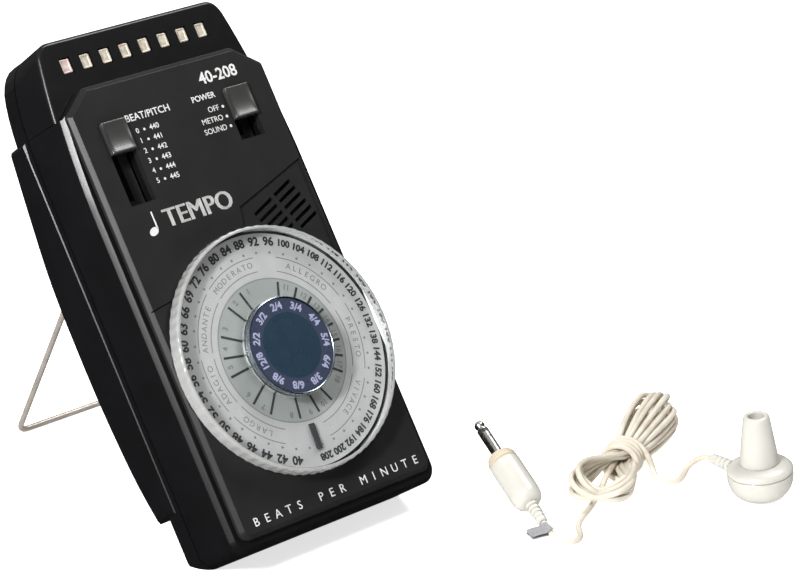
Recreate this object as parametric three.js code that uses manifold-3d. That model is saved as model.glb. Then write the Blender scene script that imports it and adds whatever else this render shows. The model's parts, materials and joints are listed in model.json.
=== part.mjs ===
// Dial metronome on a wire stand, with its corded mono earphone beside it.
//
// Units are millimetres, +Z is up and the object stands on z = 0. The case is drawn in its own
// frame: x to the right, y from the front face to the back, z up along the case, with the dial's
// axis at x = 0, z = 0 and the front panel's face at y = 0. The case then leans back by LEAN.

import * as THREE from "three";
import { mergeVertices } from "three/addons/utils/BufferGeometryUtils.js";
import Module from "manifold-3d";

const wasm = await Module();
wasm.setup();

// ---------------------------------------------------------------- driving dimensions

const GAP = 0.3; // clearance between touching pieces
const LEAN = THREE.MathUtils.degToRad(35); // case leans back from upright

const HALF_W = 38.8; // case, side to side
const CASE_TOP = 106.7;
const CASE_LOW = -50.5;
const WALL = 2.2;
const LEDGE_Y = 2.5; // front shell's front face, around the panel
const SEAM_Y = 20.4; // front shell meets rear shell
const BACK_Y = 28; // rear shell's plain back
const CAP_Y = 6; // light cap's front face

const PANEL_HALF = 36.2;
const PANEL_TOP = 90.1;
const PANEL_LOW = -47.2;
const PANEL_CUT = { x: 27.4, z: 83.2 }; // chamfered upper corners
const PANEL_T = 2.2;

const BLOCK_HALF = 39.1; // raised back that holds the battery
const BLOCK_Y = 21.7;
const BLOCK_TOP = 83.8;
const BLOCK_LOW = -32.4;
const FOOT_Y = 21.5; // where the case's bottom turns into the flat foot land

const WHEEL_R = 37;
const WHEEL_BACK = -1.2;
const WHEEL_FACE = -5.8;
const SCALLOPS = 72;
const SCALE_R = 35.3;
const KNOB_R = 14.1;
const HUB_R = 7;
const SHAFT_R = 3;
const POINTER = { angle: THREE.MathUtils.degToRad(182), inner: 22.2, outer: 29.8, width: 1.6 };

const LIGHTS = 8;
const LIGHT_PITCH = 7;
const LIGHT_Z = 98.6;
const LIGHT_SIZE = { x: 4.1, z: 4.8 };

const SLIDE_TOP = 78.5; // upper end of both switch slots
const SLIDE_W = 9;
const SLIDE_STEP = 3.1; // travel from one switch position to the next
const SLIDER = { w: 8.4, h: 9.6 };
const PITCH = { x: -23.4, steps: 5 };
const POWER = { x: 22.1, steps: 2 };

const GRILLE = { x: 23, z: 38, angle: THREE.MathUtils.degToRad(22), pitch: 2.45, slots: 6, t: 1.15 };
const SPEAKER = { x: 20.7, z: 36.5, r: 13.5 };

const WIRE_R = 0.9; // stand wire
const STAND_HALF = 21.1;
const PIVOT_Y = 34.8;
const PIVOT_Z = 53;
const STAND_OPEN = THREE.MathUtils.degToRad(63.6);

const BATTERY = { w: 26.5, body: 46.4, low: -15.6, front: 17.4, back: 34.9 };
const DOOR = { half: 16, low: -22, top: 40, seat: 35.1 };
const JACK = { y: 10.4, z: 55 };

const CORD_R = 0.9;
const PLUG = { x: 55.3, y: -85.9, z: 4.2, handle: 20 };
const PLUG_TURN = THREE.MathUtils.degToRad(75.5);
const PLUG_LIFT = THREE.MathUtils.degToRad(22);
const EAR = { x: 115.8, y: -122.3, z: 0.7, relief: 5 };
const EAR_TILT = THREE.MathUtils.degToRad(6);
const RELIEF_RISE = 0.08; // upward slope of the earphone's strain relief, in radians
const HANK = { x: 102.5, y: -81.5, length: 70, lobe: 10, waist: 6.8, top: 14 };
const HANK_TURN = THREE.MathUtils.degToRad(24.8);

// ---------------------------------------------------------------- materials

function finish(color, roughness, metalness = 0, opacity = 1) {
  const transparent = opacity < 1;
  return new THREE.MeshStandardMaterial({ color, roughness, metalness, opacity, transparent });
}

const BLACK = () => finish(0x121214, 0.45);
const PANEL_GREY = () => finish(0x2f3033, 0.55);
const STEEL = () => finish(0xb8b6ae, 0.3, 1);
const BOARD = () => finish(0x1f5a36, 0.6);
const DARK = () => finish(0x1a1a1c, 0.4);
const WHITE = () => finish(0xf0efe6, 0.5);
const BRASS = () => finish(0xb49a5a, 0.4, 1);

// ---------------------------------------------------------------- solids

function toManifold(geometry) {
  const bare = geometry.clone();
  bare.deleteAttribute("normal");
  bare.deleteAttribute("uv");
  const merged = mergeVertices(bare, 1e-4);
  const vertProperties = new Float32Array(merged.attributes.position.array);
  const triVerts = new Uint32Array(merged.index.array);
  return new wasm.Manifold(new wasm.Mesh({ numProp: 3, vertProperties, triVerts }));
}

function toGeometry(solid) {
  const mesh = solid.getMesh();
  const geometry = new THREE.BufferGeometry();
  geometry.setAttribute("position", new THREE.BufferAttribute(new Float32Array(mesh.vertProperties), 3));
  geometry.setIndex(new THREE.BufferAttribute(new Uint32Array(mesh.triVerts), 1));
  geometry.computeVertexNormals();
  return geometry;
}

function cut(base, ...tools) {
  return toGeometry(tools.reduce((solid, tool) => solid.subtract(toManifold(tool)), toManifold(base)));
}

function join(base, ...others) {
  return toGeometry(others.reduce((solid, other) => solid.add(toManifold(other)), toManifold(base)));
}

function common(base, other) {
  return toGeometry(toManifold(base).intersect(toManifold(other)));
}

// A box between two values on each axis.
function box(x, y, z) {
  const geometry = new THREE.BoxGeometry(x[1] - x[0], y[1] - y[0], z[1] - z[0]);
  return geometry.translate((x[0] + x[1]) / 2, (y[0] + y[1]) / 2, (z[0] + z[1]) / 2);
}

function boxAt(x, z, w, h, y) {
  return box([x - w / 2, x + w / 2], y, [z - h / 2, z + h / 2]);
}

// An outline drawn in (x, z), extruded from y0 back to y1, with an optional bevel at both faces.
function slab(outline, y0, y1, bevel = 0) {
  const depth = y1 - y0 - 2 * bevel;
  const options = { depth, curveSegments: 5, bevelEnabled: bevel > 0 };
  const edge = { bevelThickness: bevel, bevelSize: bevel, bevelOffset: -bevel, bevelSegments: 1 };
  Object.assign(options, edge);
  const geometry = new THREE.ExtrudeGeometry(outline, options);
  return geometry.rotateX(Math.PI / 2).translate(0, y1 - bevel, 0);
}

// A profile drawn in (y, z), extruded from -half to +half along x.
function sideSlab(profile, half, bevel = 0) {
  const options = { depth: 2 * (half - bevel), curveSegments: 3, bevelEnabled: bevel > 0 };
  const edge = { bevelThickness: bevel, bevelSize: bevel, bevelOffset: -bevel, bevelSegments: 1 };
  Object.assign(options, edge);
  const geometry = new THREE.ExtrudeGeometry(profile, options);
  const axes = new THREE.Matrix4().makeBasis(
    new THREE.Vector3(0, 1, 0),
    new THREE.Vector3(0, 0, 1),
    new THREE.Vector3(1, 0, 0),
  );
  return geometry.applyMatrix4(axes).translate(-(half - bevel), 0, 0);
}

// A disc or pin along y.
function pin(x, z, r, y0, y1, sides = 20) {
  return new THREE.CylinderGeometry(r, r, y1 - y0, sides).translate(x, (y0 + y1) / 2, z);
}

// A profile of [radius, height] turned about the y axis, with its faces pointing out.
function turned(profile, sides = 24) {
  const points = profile.map(([r, h]) => new THREE.Vector2(r, h));
  const geometry = new THREE.LatheGeometry(points, sides);
  if (signedVolume(geometry) > 0) {
    return geometry;
  }
  const { array } = geometry.index;
  for (let i = 0; i < array.length; i += 3) {
    [array[i], array[i + 1]] = [array[i + 1], array[i]];
  }
  return geometry;
}

function signedVolume(geometry) {
  const position = geometry.attributes.position;
  const corner = [0, 1, 2].map(() => new THREE.Vector3());
  let volume = 0;
  for (let i = 0; i < geometry.index.count; i += 3) {
    corner.forEach((point, k) => point.fromBufferAttribute(position, geometry.index.getX(i + k)));
    volume += corner[0].dot(corner[1].clone().cross(corner[2])) / 6;
  }
  return volume;
}

// A profile turned about z, or about x with its height along +x.
const turnedUp = (profile, sides) => turned(profile, sides).rotateX(Math.PI / 2);
const turnedAlong = (profile, sides) => turned(profile, sides).rotateZ(-Math.PI / 2);

// A round wire along a curve.
function tube(curve, radius, steps, sides = 8) {
  const section = new THREE.Shape();
  for (let i = 0; i < sides; i += 1) {
    const angle = (2 * Math.PI * i) / sides;
    const place = [radius * Math.cos(angle), radius * Math.sin(angle)];
    i === 0 ? section.moveTo(...place) : section.lineTo(...place);
  }
  section.closePath();
  const options = { steps, curveSegments: 1, bevelEnabled: false, extrudePath: curve };
  return new THREE.ExtrudeGeometry(section, options);
}

function part(name, geometry, material) {
  const mesh = new THREE.Mesh(geometry, material);
  mesh.name = name;
  return mesh;
}

// ---------------------------------------------------------------- case outlines

// Upper half of the case's side, as [half width, height] of its start, control points and end: the
// front draws in from low down to a small corner, the rear stays wide up to a large one.
const SIDE_FRONT = [[HALF_W, 55], [38.2, 80], [33.7, 103], [32.9, CASE_TOP], [29.6, CASE_TOP]];
const SIDE_REAR = [[HALF_W, 78], [38.1, 92], [35.6, 99.5], [32.6, CASE_TOP], [27, CASE_TOP]];
const CORNER_R = 5;

// Outline of the case at a depth, with the walls sloping from the front's shape to the seam's.
function caseOutline(y, inset = 0) {
  const share = Math.min(1, Math.max(0, (y - LEDGE_Y) / (SEAM_Y - LEDGE_Y)));
  const [start, lowControl, shoulder, highControl, end] = SIDE_FRONT.map(([x, z], i) => ({
    x: THREE.MathUtils.lerp(x, SIDE_REAR[i][0], share),
    z: THREE.MathUtils.lerp(z, SIDE_REAR[i][1], share),
  }));
  const shape = new THREE.Shape();
  shape.moveTo(-start.x + CORNER_R, CASE_LOW);
  shape.lineTo(start.x - CORNER_R, CASE_LOW);
  shape.absarc(start.x - CORNER_R, CASE_LOW + CORNER_R, CORNER_R, -Math.PI / 2, 0, false);
  shape.lineTo(start.x, start.z);
  shape.quadraticCurveTo(lowControl.x, lowControl.z, shoulder.x, shoulder.z);
  shape.quadraticCurveTo(highControl.x, highControl.z, end.x, end.z);
  shape.lineTo(-end.x, end.z);
  shape.quadraticCurveTo(-highControl.x, highControl.z, -shoulder.x, shoulder.z);
  shape.quadraticCurveTo(-lowControl.x, lowControl.z, -start.x, start.z);
  shape.lineTo(-start.x, CASE_LOW + CORNER_R);
  shape.absarc(-start.x + CORNER_R, CASE_LOW + CORNER_R, CORNER_R, Math.PI, 1.5 * Math.PI, false);
  return insetPoints(shape.getPoints(5).slice(0, -1), inset);
}

// Points of a closed outline, each moved inwards square to its neighbours.
function insetPoints(points, inset) {
  return points.map((point, i) => {
    const before = points[(i + points.length - 1) % points.length];
    const after = points[(i + 1) % points.length];
    const a = new THREE.Vector2().subVectors(point, before).normalize();
    const b = new THREE.Vector2().subVectors(after, point).normalize();
    const inward = new THREE.Vector2(-a.y - b.y, a.x + b.x).normalize();
    return point.clone().addScaledVector(inward, inset / Math.sqrt((1 + a.dot(b)) / 2));
  });
}

// A skin over the case's outlines at several [depth, inset] levels, closed by flat faces.
function caseLoft(levels) {
  const outlines = levels.map(([y, inset]) => caseOutline(y, inset));
  const count = outlines[0].length;
  const last = (levels.length - 1) * count;
  const vertices = outlines.flatMap((points, i) => points.flatMap((p) => [p.x, levels[i][0], p.y]));
  const index = THREE.ShapeUtils.triangulateShape(outlines[0], []).flatMap(([a, b, c]) => [
    a, b, c, last + a, last + c, last + b,
  ]);
  for (let level = 0; level < last; level += count) {
    for (let i = 0; i < count; i += 1) {
      const j = (i + 1) % count;
      const above = level + count;
      index.push(level + i, above + i, above + j, level + i, above + j, level + j);
    }
  }
  const geometry = new THREE.BufferGeometry();
  geometry.setAttribute("position", new THREE.Float32BufferAttribute(vertices, 3));
  geometry.setIndex(index);
  return geometry;
}

// Everything above the line where the light cap meets the front shell, which runs along the top
// of the panel and its chamfered corners.
function aboveCapLine(lift) {
  const side = PANEL_CUT.z + lift;
  const shape = new THREE.Shape();
  shape.moveTo(-60, side);
  shape.lineTo(-PANEL_HALF, side);
  shape.lineTo(-PANEL_CUT.x, PANEL_TOP + lift);
  shape.lineTo(PANEL_CUT.x, PANEL_TOP + lift);
  shape.lineTo(PANEL_HALF, side);
  shape.lineTo(60, side);
  shape.lineTo(60, 140);
  shape.lineTo(-60, 140);
  return slab(shape, -10, 60);
}

function panelOutline() {
  const r = 3;
  const shape = new THREE.Shape();
  shape.moveTo(-PANEL_HALF + r, PANEL_LOW);
  shape.lineTo(PANEL_HALF - r, PANEL_LOW);
  shape.absarc(PANEL_HALF - r, PANEL_LOW + r, r, -Math.PI / 2, 0, false);
  shape.lineTo(PANEL_HALF, PANEL_CUT.z);
  shape.lineTo(PANEL_CUT.x, PANEL_TOP);
  shape.lineTo(-PANEL_CUT.x, PANEL_TOP);
  shape.lineTo(-PANEL_HALF, PANEL_CUT.z);
  shape.lineTo(-PANEL_HALF, PANEL_LOW + r);
  shape.absarc(-PANEL_HALF + r, PANEL_LOW + r, r, Math.PI, 1.5 * Math.PI, false);
  return shape;
}

// Side view of the raised back: a flat front inside the case and a gently swelling rear.
function blockProfile() {
  const rear = [[36.3, -18], [38.1, 2], [38.5, 22], [37.8, 44], [34.9, 64], [31.4, BLOCK_TOP - 0.3]];
  const shape = new THREE.Shape();
  shape.moveTo(BLOCK_Y, BLOCK_LOW);
  shape.lineTo(33.4, BLOCK_LOW);
  shape.splineThru(rear.map(([y, z]) => new THREE.Vector2(y, z)));
  shape.lineTo(BLOCK_Y, BLOCK_TOP);
  return shape;
}

// Everything below the surface that the case stands on, raised by a margin, in the case's frame.
const FLOOR = CASE_LOW * Math.cos(LEAN) - FOOT_Y * Math.sin(LEAN);

function underFloor(margin = 0) {
  const slabBelow = box([-80, 80], [-90, 90], [-60, 0]);
  return slabBelow.translate(0, 0, FLOOR + margin).rotateX(LEAN);
}

const slot = (x, steps, y) => {
  const length = SLIDER.h + steps * SLIDE_STEP + 0.4;
  return boxAt(x, SLIDE_TOP - length / 2, SLIDE_W, length, y);
};

// ---------------------------------------------------------------- case shells

const LOW_SCREWS = [-33, 33].map((x) => ({ x, z: -40.5 }));
const TOP_SCREWS = [-31, 31].map((x) => ({ x, z: 98 }));
const SCREW_HOLE_R = 1.7;

function boss({ x, z }, y0, y1, r = 3.5) {
  return pin(x, z, r, y0, y1, 12);
}

function screwHole({ x, z }, y0, y1, r = SCREW_HOLE_R) {
  return pin(x, z, r, y0, y1, 12);
}

function frontShell() {
  const solid = caseLoft([[LEDGE_Y, 1.4], [LEDGE_Y + 1.4, 0], [SEAM_Y, 0]]);
  const outer = cut(solid, aboveCapLine(0));
  const inner = caseLoft([[LEDGE_Y + WALL, WALL], [SEAM_Y + 5, WALL]]);
  const hollow = cut(inner, aboveCapLine(-WALL));
  const shell = join(cut(outer, hollow), ...LOW_SCREWS.map((at) => boss(at, LEDGE_Y + 1, SEAM_Y)));
  return cut(
    shell,
    pin(0, 0, HUB_R + 1.5, 0, 8),
    slot(PITCH.x, PITCH.steps, [0, 8]),
    slot(POWER.x, POWER.steps, [0, 8]),
    pin(SPEAKER.x, SPEAKER.z, 11.6, 0, 8),
    box([-18, 18], [9, 13], [PANEL_TOP - 5, PANEL_TOP + 5]),
    ...LOW_SCREWS.map((at) => screwHole(at, 6, SEAM_Y + 1)),
    jackTool(3.4, 30, 45),
    jackTool(4.8, 37.2, 45),
  );
}

function jackTool(r, x0, x1) {
  const rod = new THREE.CylinderGeometry(r, r, x1 - x0, 20).rotateZ(Math.PI / 2);
  return rod.translate((x0 + x1) / 2, JACK.y, JACK.z);
}

function rearShell() {
  const plain = caseLoft([[SEAM_Y + GAP, 0], [BACK_Y - 1.2, 0], [BACK_Y, 1.2]]);
  const wide = caseLoft([[SEAM_Y - 2, WALL], [BACK_Y - WALL, WALL]]);
  const inner = cut(wide, underFloor(WALL));
  const hollowBlock = box([-36.2, 36.2], [SEAM_Y - 1, 31.2], [-29, 68]);
  const screws = [...LOW_SCREWS, ...TOP_SCREWS];
  let shell = cut(join(plain, sideSlab(blockProfile(), BLOCK_HALF, 1.2)), inner, hollowBlock);
  shell = join(shell, ...screws.map((at) => boss(at, SEAM_Y + GAP, BACK_Y - 1, 4)));
  return cut(
    shell,
    underFloor(),
    doorSeat(),
    box([-13.9, 13.9], [SEAM_Y - 1, 45], [-16.2, 36.8]),
    ...[-1, 1].flatMap((side) => standGrooves(side)),
    ...screws.map((at) => screwHole(at, SEAM_Y - 2, BACK_Y + 2)),
    ...screws.map((at) => screwHole(at, BACK_Y - 2.3, BACK_Y + 2, 3.2)),
  );
}

function doorSeat() {
  return box([-DOOR.half - GAP, DOOR.half + GAP], [DOOR.seat, 60], [-45, DOOR.top + GAP]);
}

// Grooves for one leg of the stand, its pivot pin and the clip that holds the pin.
function standGrooves(side) {
  const from = (near, far) => (side > 0 ? [near, far] : [-far, -near]);
  return [
    box(from(19.5, 22.7), [33.3, 60], [-45, PIVOT_Z + 1.8]),
    box(from(14.2, 22.7), [33.3, 60], [PIVOT_Z - 1.8, PIVOT_Z + 1.8]),
    box(from(14.2, 19.6), [PIVOT_Y + WIRE_R, 60], [44.2, PIVOT_Z + 1.8]),
    pin(side * 16.9, 47.2, 1.3, 30, 40, 10),
  ];
}

function lightCap() {
  const solid = caseLoft([[CAP_Y, 1.2], [CAP_Y + 1.2, 0], [SEAM_Y, 0]]);
  const outer = common(solid, aboveCapLine(GAP));
  const inner = caseLoft([[CAP_Y + WALL, WALL], [SEAM_Y + 5, WALL]]);
  const hollow = common(inner, aboveCapLine(GAP + WALL));
  const shell = join(cut(outer, hollow), ...TOP_SCREWS.map((at) => boss(at, CAP_Y + 1, SEAM_Y)));
  return cut(
    shell,
    box([-18, 18], [9, 13], [PANEL_TOP - 2, PANEL_TOP + 5]),
    ...lightCentres().map((x) => boxAt(x, LIGHT_Z, LIGHT_SIZE.x + 0.6, LIGHT_SIZE.z + 0.6, [0, 12])),
    ...TOP_SCREWS.map((at) => screwHole(at, 9, SEAM_Y + 1)),
  );
}

function lightCentres() {
  return Array.from({ length: LIGHTS }, (_, i) => (i - (LIGHTS - 1) / 2) * LIGHT_PITCH);
}

function frontPanel() {
  const plate = cut(slab(panelOutline(), 0, PANEL_T + 4, 1.2), box([-60, 60], [PANEL_T, 20], [-80, 140]));
  return cut(
    plate,
    pin(0, 0, SCALE_R + 0.7, -1, 0.6, 48),
    pin(0, 0, HUB_R + 0.6, -1, 8),
    slot(PITCH.x, PITCH.steps, [-1, 8]),
    slot(POWER.x, POWER.steps, [-1, 8]),
    grilleRecess(),
    ...grilleSlots(),
  );
}

// A shallow recess from a slanting edge down to the dial, with the slots cut through its floor.
function grilleRecess() {
  const shape = new THREE.Shape();
  shape.moveTo(7.4, 43.7);
  shape.lineTo(5, 33);
  shape.lineTo(34, 10);
  shape.lineTo(34.4, 52.4);
  return slab(shape, -1, 0.7);
}

function grilleSlots() {
  const tools = [];
  for (let i = 0; i < GRILLE.slots; i += 1) {
    const across = (i - (GRILLE.slots - 1) / 2) * GRILLE.pitch;
    for (const [from, to] of [[-9.5, -0.9], [0.5, 8.6]]) {
      const bar = box([from, to], [-1, 8], [across - GRILLE.t / 2, across + GRILLE.t / 2]);
      tools.push(bar.rotateY(-GRILLE.angle).translate(GRILLE.x, 0, GRILLE.z));
    }
  }
  return tools;
}

// ---------------------------------------------------------------- dial and switches

function dialWheel() {
  const rim = new THREE.Shape();
  const count = SCALLOPS * 2;
  for (let i = 0; i < count; i += 1) {
    const angle = (2 * Math.PI * i) / count;
    const r = WHEEL_R - 0.3 + 0.3 * Math.cos(SCALLOPS * angle);
    const place = [r * Math.cos(angle), r * Math.sin(angle)];
    i === 0 ? rim.moveTo(...place) : rim.lineTo(...place);
  }
  rim.closePath();
  const pocket = pin(0, 0, KNOB_R + 0.4, WHEEL_FACE - 1, -3.9, 40);
  const groove = pointerBar(POINTER.width + 0.6, 0.6, WHEEL_FACE - 1, WHEEL_FACE + 0.7);
  return cut(slab(rim, WHEEL_FACE, WHEEL_BACK), pocket, pin(0, 0, HUB_R + 0.4, -10, 0, 28), groove);
}

function pointerBar(width, margin, y0, y1) {
  const length = POINTER.outer - POINTER.inner + margin;
  const bar = boxAt(0, (POINTER.inner + POINTER.outer) / 2, width, length, [y0, y1]);
  return bar.rotateY(POINTER.angle);
}

function knobCap() {
  return turned([[0, -4.2], [KNOB_R, -4.2], [KNOB_R, -6.2], [KNOB_R - 0.6, -6.7], [0, -6.7]], 40);
}

function dialHub() {
  return turned([[3.3, -3.6], [HUB_R, -3.6], [HUB_R, 4.4], [3.3, 4.4], [3.3, -3.6]], 28);
}

function dialScale() {
  return cut(pin(0, 0, SCALE_R, -0.5, 0.3, 48), pin(0, 0, HUB_R + 0.6, -2, 2, 24));
}

function rotarySwitch() {
  return cut(pin(0, 0, 11, 6.2, 14.2, 24), pin(0, 0, SHAFT_R + 0.4, 5, 12, 20));
}

// A switch's sliding cap, ribbed for the finger, with the stem that enters the switch behind it.
function slider(x) {
  const z = SLIDE_TOP - 0.2 - SLIDER.h / 2;
  const ribs = [-2.7, 0, 2.7].map((dz) => boxAt(x, z + dz, SLIDER.w, 1.1, [-1.6, -1]));
  return join(boxAt(x, z, SLIDER.w, SLIDER.h, [-1.1, 1.8]), boxAt(x, z, 3, 4, [1.5, 8.6]), ...ribs);
}

function slideSwitch(x, steps) {
  const travel = steps * SLIDE_STEP;
  const z = SLIDE_TOP - 0.2 - SLIDER.h / 2 - travel / 2;
  return cut(boxAt(x, z, 10.4, travel + 15, [6.6, 12]), boxAt(x, z, 4, travel + 5, [5, 10]));
}

// ---------------------------------------------------------------- inside the case

function speakerFrame() {
  const { r } = SPEAKER;
  const ring = [[r, 5.1], [r, 8.6], [7.5, 8.6], [7.5, 7.8], [r - 1.6, 7.8], [r - 1.6, 5.1], [r, 5.1]];
  return turned(ring, 24).translate(SPEAKER.x, 0, SPEAKER.z);
}

function speakerCone() {
  const dish = [[0, 6.6], [4, 6.4], [11.3, 5.4], [11.3, 5.9], [4, 6.9], [0, 7.1]];
  return turned(dish, 20).translate(SPEAKER.x, 0, SPEAKER.z);
}

function mainBoard() {
  return cut(box([-28, 28], [14.5, 16.1], [-44, 84]), box([-20, -12], [13, 18], [80, 90]));
}

function phoneJack() {
  const body = box([24, 35.6], [6.4, 14.1], [JACK.z - 3.8, JACK.z + 3.8]);
  return cut(join(body, jackTool(3, 35, 38.3)), jackTool(1.9, 26, 40));
}

function battery() {
  const { w, body, low, front, back } = BATTERY;
  const can = slab(roundedBox(0, low + body / 2, w, body, 2), front, back, 0.8);
  const stud = (r) => new THREE.CylinderGeometry(r, r, 2.4, 12).rotateX(Math.PI / 2);
  const post = (x, r) => stud(r).translate(x, 26.2, low + body + 0.8);
  return join(can, post(-6.4, 2.9), post(6.4, 3.6));
}

function roundedBox(x, z, w, h, r) {
  const shape = new THREE.Shape();
  shape.moveTo(x - w / 2 + r, z - h / 2);
  shape.lineTo(x + w / 2 - r, z - h / 2);
  shape.absarc(x + w / 2 - r, z - h / 2 + r, r, -Math.PI / 2, 0, false);
  shape.lineTo(x + w / 2, z + h / 2 - r);
  shape.absarc(x + w / 2 - r, z + h / 2 - r, r, 0, Math.PI / 2, false);
  shape.lineTo(x - w / 2 + r, z + h / 2);
  shape.absarc(x - w / 2 + r, z + h / 2 - r, r, Math.PI / 2, Math.PI, false);
  shape.lineTo(x - w / 2, z - h / 2 + r);
  shape.absarc(x - w / 2 + r, z - h / 2 + r, r, Math.PI, 1.5 * Math.PI, false);
  return shape;
}

function batteryDoor() {
  const region = box([-DOOR.half, DOOR.half], [DOOR.seat + GAP, 60], [DOOR.low, DOOR.top]);
  const grips = [30, 32, 34, 36].map((z) => box([-8, 8], [37.4, 63.4], [z, z + 0.9]));
  return cut(common(sideSlab(blockProfile(), BLOCK_HALF), region), ...grips);
}

function caseScrew({ x, z }, tip) {
  const head = [[1.4, BACK_Y - 2.2], [2.8, BACK_Y - 2.2], [2.8, BACK_Y - 1], [2, BACK_Y - 0.4]];
  const driver = box([-1.6, 1.6], [BACK_Y - 1.1, BACK_Y + 2], [-0.35, 0.35]);
  const blank = turned([[0, tip], [1.4, tip], ...head, [0, BACK_Y - 0.4]], 12);
  return cut(blank, driver, driver.clone().rotateY(Math.PI / 2)).translate(x, 0, z);
}

// ---------------------------------------------------------------- wire stand

// The stand is drawn folded, with its pivot at the origin and its legs along -z.
const STAND_LEG = (() => {
  const pivotHeight = PIVOT_Z * Math.cos(LEAN) - PIVOT_Y * Math.sin(LEAN) - FLOOR;
  return (pivotHeight - WIRE_R) / Math.cos(STAND_OPEN - LEAN);
})();

function standWire() {
  const half = STAND_HALF;
  const low = -STAND_LEG;
  const corner = 4;
  const at = (x, z) => new THREE.Vector3(x, 0, z);
  const path = new THREE.CurvePath();
  const line = (a, b) => path.add(new THREE.LineCurve3(a, b));
  const bend = (a, b, c) => path.add(new THREE.QuadraticBezierCurve3(a, b, c));
  line(at(-15, 0), at(-half + 1.8, 0));
  bend(at(-half + 1.8, 0), at(-half, 0), at(-half, -1.8));
  line(at(-half, -1.8), at(-half, low + corner));
  bend(at(-half, low + corner), at(-half, low), at(-half + corner, low));
  line(at(-half + corner, low), at(half - corner, low));
  bend(at(half - corner, low), at(half, low), at(half, low + corner));
  line(at(half, low + corner), at(half, -1.8));
  bend(at(half, -1.8), at(half, 0), at(half - 1.8, 0));
  line(at(half - 1.8, 0), at(15, 0));
  return tube(path, WIRE_R, 66);
}

function standClip(side) {
  const plate = boxAt(side * 16.85, 49.5, 4.5, 10, [PIVOT_Y + WIRE_R + GAP, 37.1]);
  return cut(plate, pin(side * 16.9, 47.2, 1.3, 30, 40, 10));
}

function clipScrew(side) {
  const profile = [[0, 32.6], [1, 32.6], [1, 37.3], [1.8, 37.3], [1.8, 37.9], [1.3, 38.2], [0, 38.2]];
  return turned(profile, 12).translate(side * 16.9, 0, 47.2);
}

// ---------------------------------------------------------------- earphone set

// Route of the cord from the plug's strain relief to the hank, and from the hank to the earphone.
const PLUG_LEAD = [
  [53.4, -93.1, 1.4], [52.4, -95.7, 1.1], [51.1, -98.3, 1], [49.9, -100.9, 1], [49.3, -103.7, 1],
  [50.6, -106.2, 1], [53.3, -107.1, 1], [55.9, -106.0, 1], [57.5, -103.7, 1], [59.3, -101.4, 1],
  [61.6, -99.3, 1], [64.3, -97.8, 1.1], [67.1, -96.6, 1.4],
];
const EAR_LEAD = [
  [99.5, -94.2, 1.5], [99.7, -96.9, 1.1], [101.5, -99.0, 1], [104.2, -99.6, 1], [106.9, -98.6, 1.2],
  [109.3, -97.3, 1.8], [111.8, -96.7, 2.8], [113.9, -97.4, 3.9], [115.1, -99.0, 5], [115.4, -100.8, 5.7],
  [115.3, -102.6, 5.9],
];

function lead(points, steps) {
  const curve = new THREE.CatmullRomCurve3(points.map(([x, y, z]) => new THREE.Vector3(x, y, z)));
  return tube(curve, CORD_R, steps);
}

// The folded cord: two round lobes drawn together at the bound waist.
function hank() {
  const { length, lobe, waist, top } = HANK;
  const end = length / 2 - lobe;
  const turn = 2.1;
  const neck = { x: end + lobe * Math.cos(turn), y: lobe * Math.sin(turn) };
  const shape = new THREE.Shape();
  shape.absarc(end, 0, lobe, -turn, turn, false);
  shape.quadraticCurveTo(6, waist, 0, waist);
  shape.quadraticCurveTo(-6, waist, -neck.x, neck.y);
  shape.absarc(-end, 0, lobe, Math.PI - turn, Math.PI + turn, false);
  shape.quadraticCurveTo(-6, -waist, 0, -waist);
  shape.quadraticCurveTo(6, -waist, neck.x, -neck.y);
  const options = { depth: top - 0.1, curveSegments: 8, bevelEnabled: false };
  return new THREE.ExtrudeGeometry(shape, options).translate(0, 0, 0.1);
}

function plugParts() {
  const end = PLUG.handle;
  const grip = [[2.6, 0], [4.1, 1.3], [4.7, 4.4], [4.7, 18], [4.2, end]];
  const tip = [[1.7, 0], [1.7, 0.5], [1.15, 1.2], [1.6, 2.1], [1.3, 3.2]];
  const rod = (x0, x1) => turnedAlong([[0, x0], [1.75, x0], [1.75, x1], [0, x1]], 14);
  const plug = new THREE.Group();
  plug.position.set(PLUG.x, PLUG.y, PLUG.z);
  plug.rotation.set(0, -PLUG_LIFT, PLUG_TURN, "ZYX");
  plug.add(
    part("plug_handle", turnedAlong([[0, 0], ...grip, [0, end]], 20), WHITE()),
    part("plug_sleeve", rod(end + GAP, end + 9.9), STEEL()),
    part("plug_insulator", rod(end + 10.2, end + 11), DARK()),
    part("plug_tip", turnedAlong([[0, 0], ...tip, [0, 4]], 14).translate(end + 11.3, 0, 0), STEEL()),
    part("plug_relief", turnedAlong([[0, -GAP], [1.9, -GAP], [1.5, -7], [0, -7]], 12), WHITE()),
  );
  return plug;
}

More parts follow.
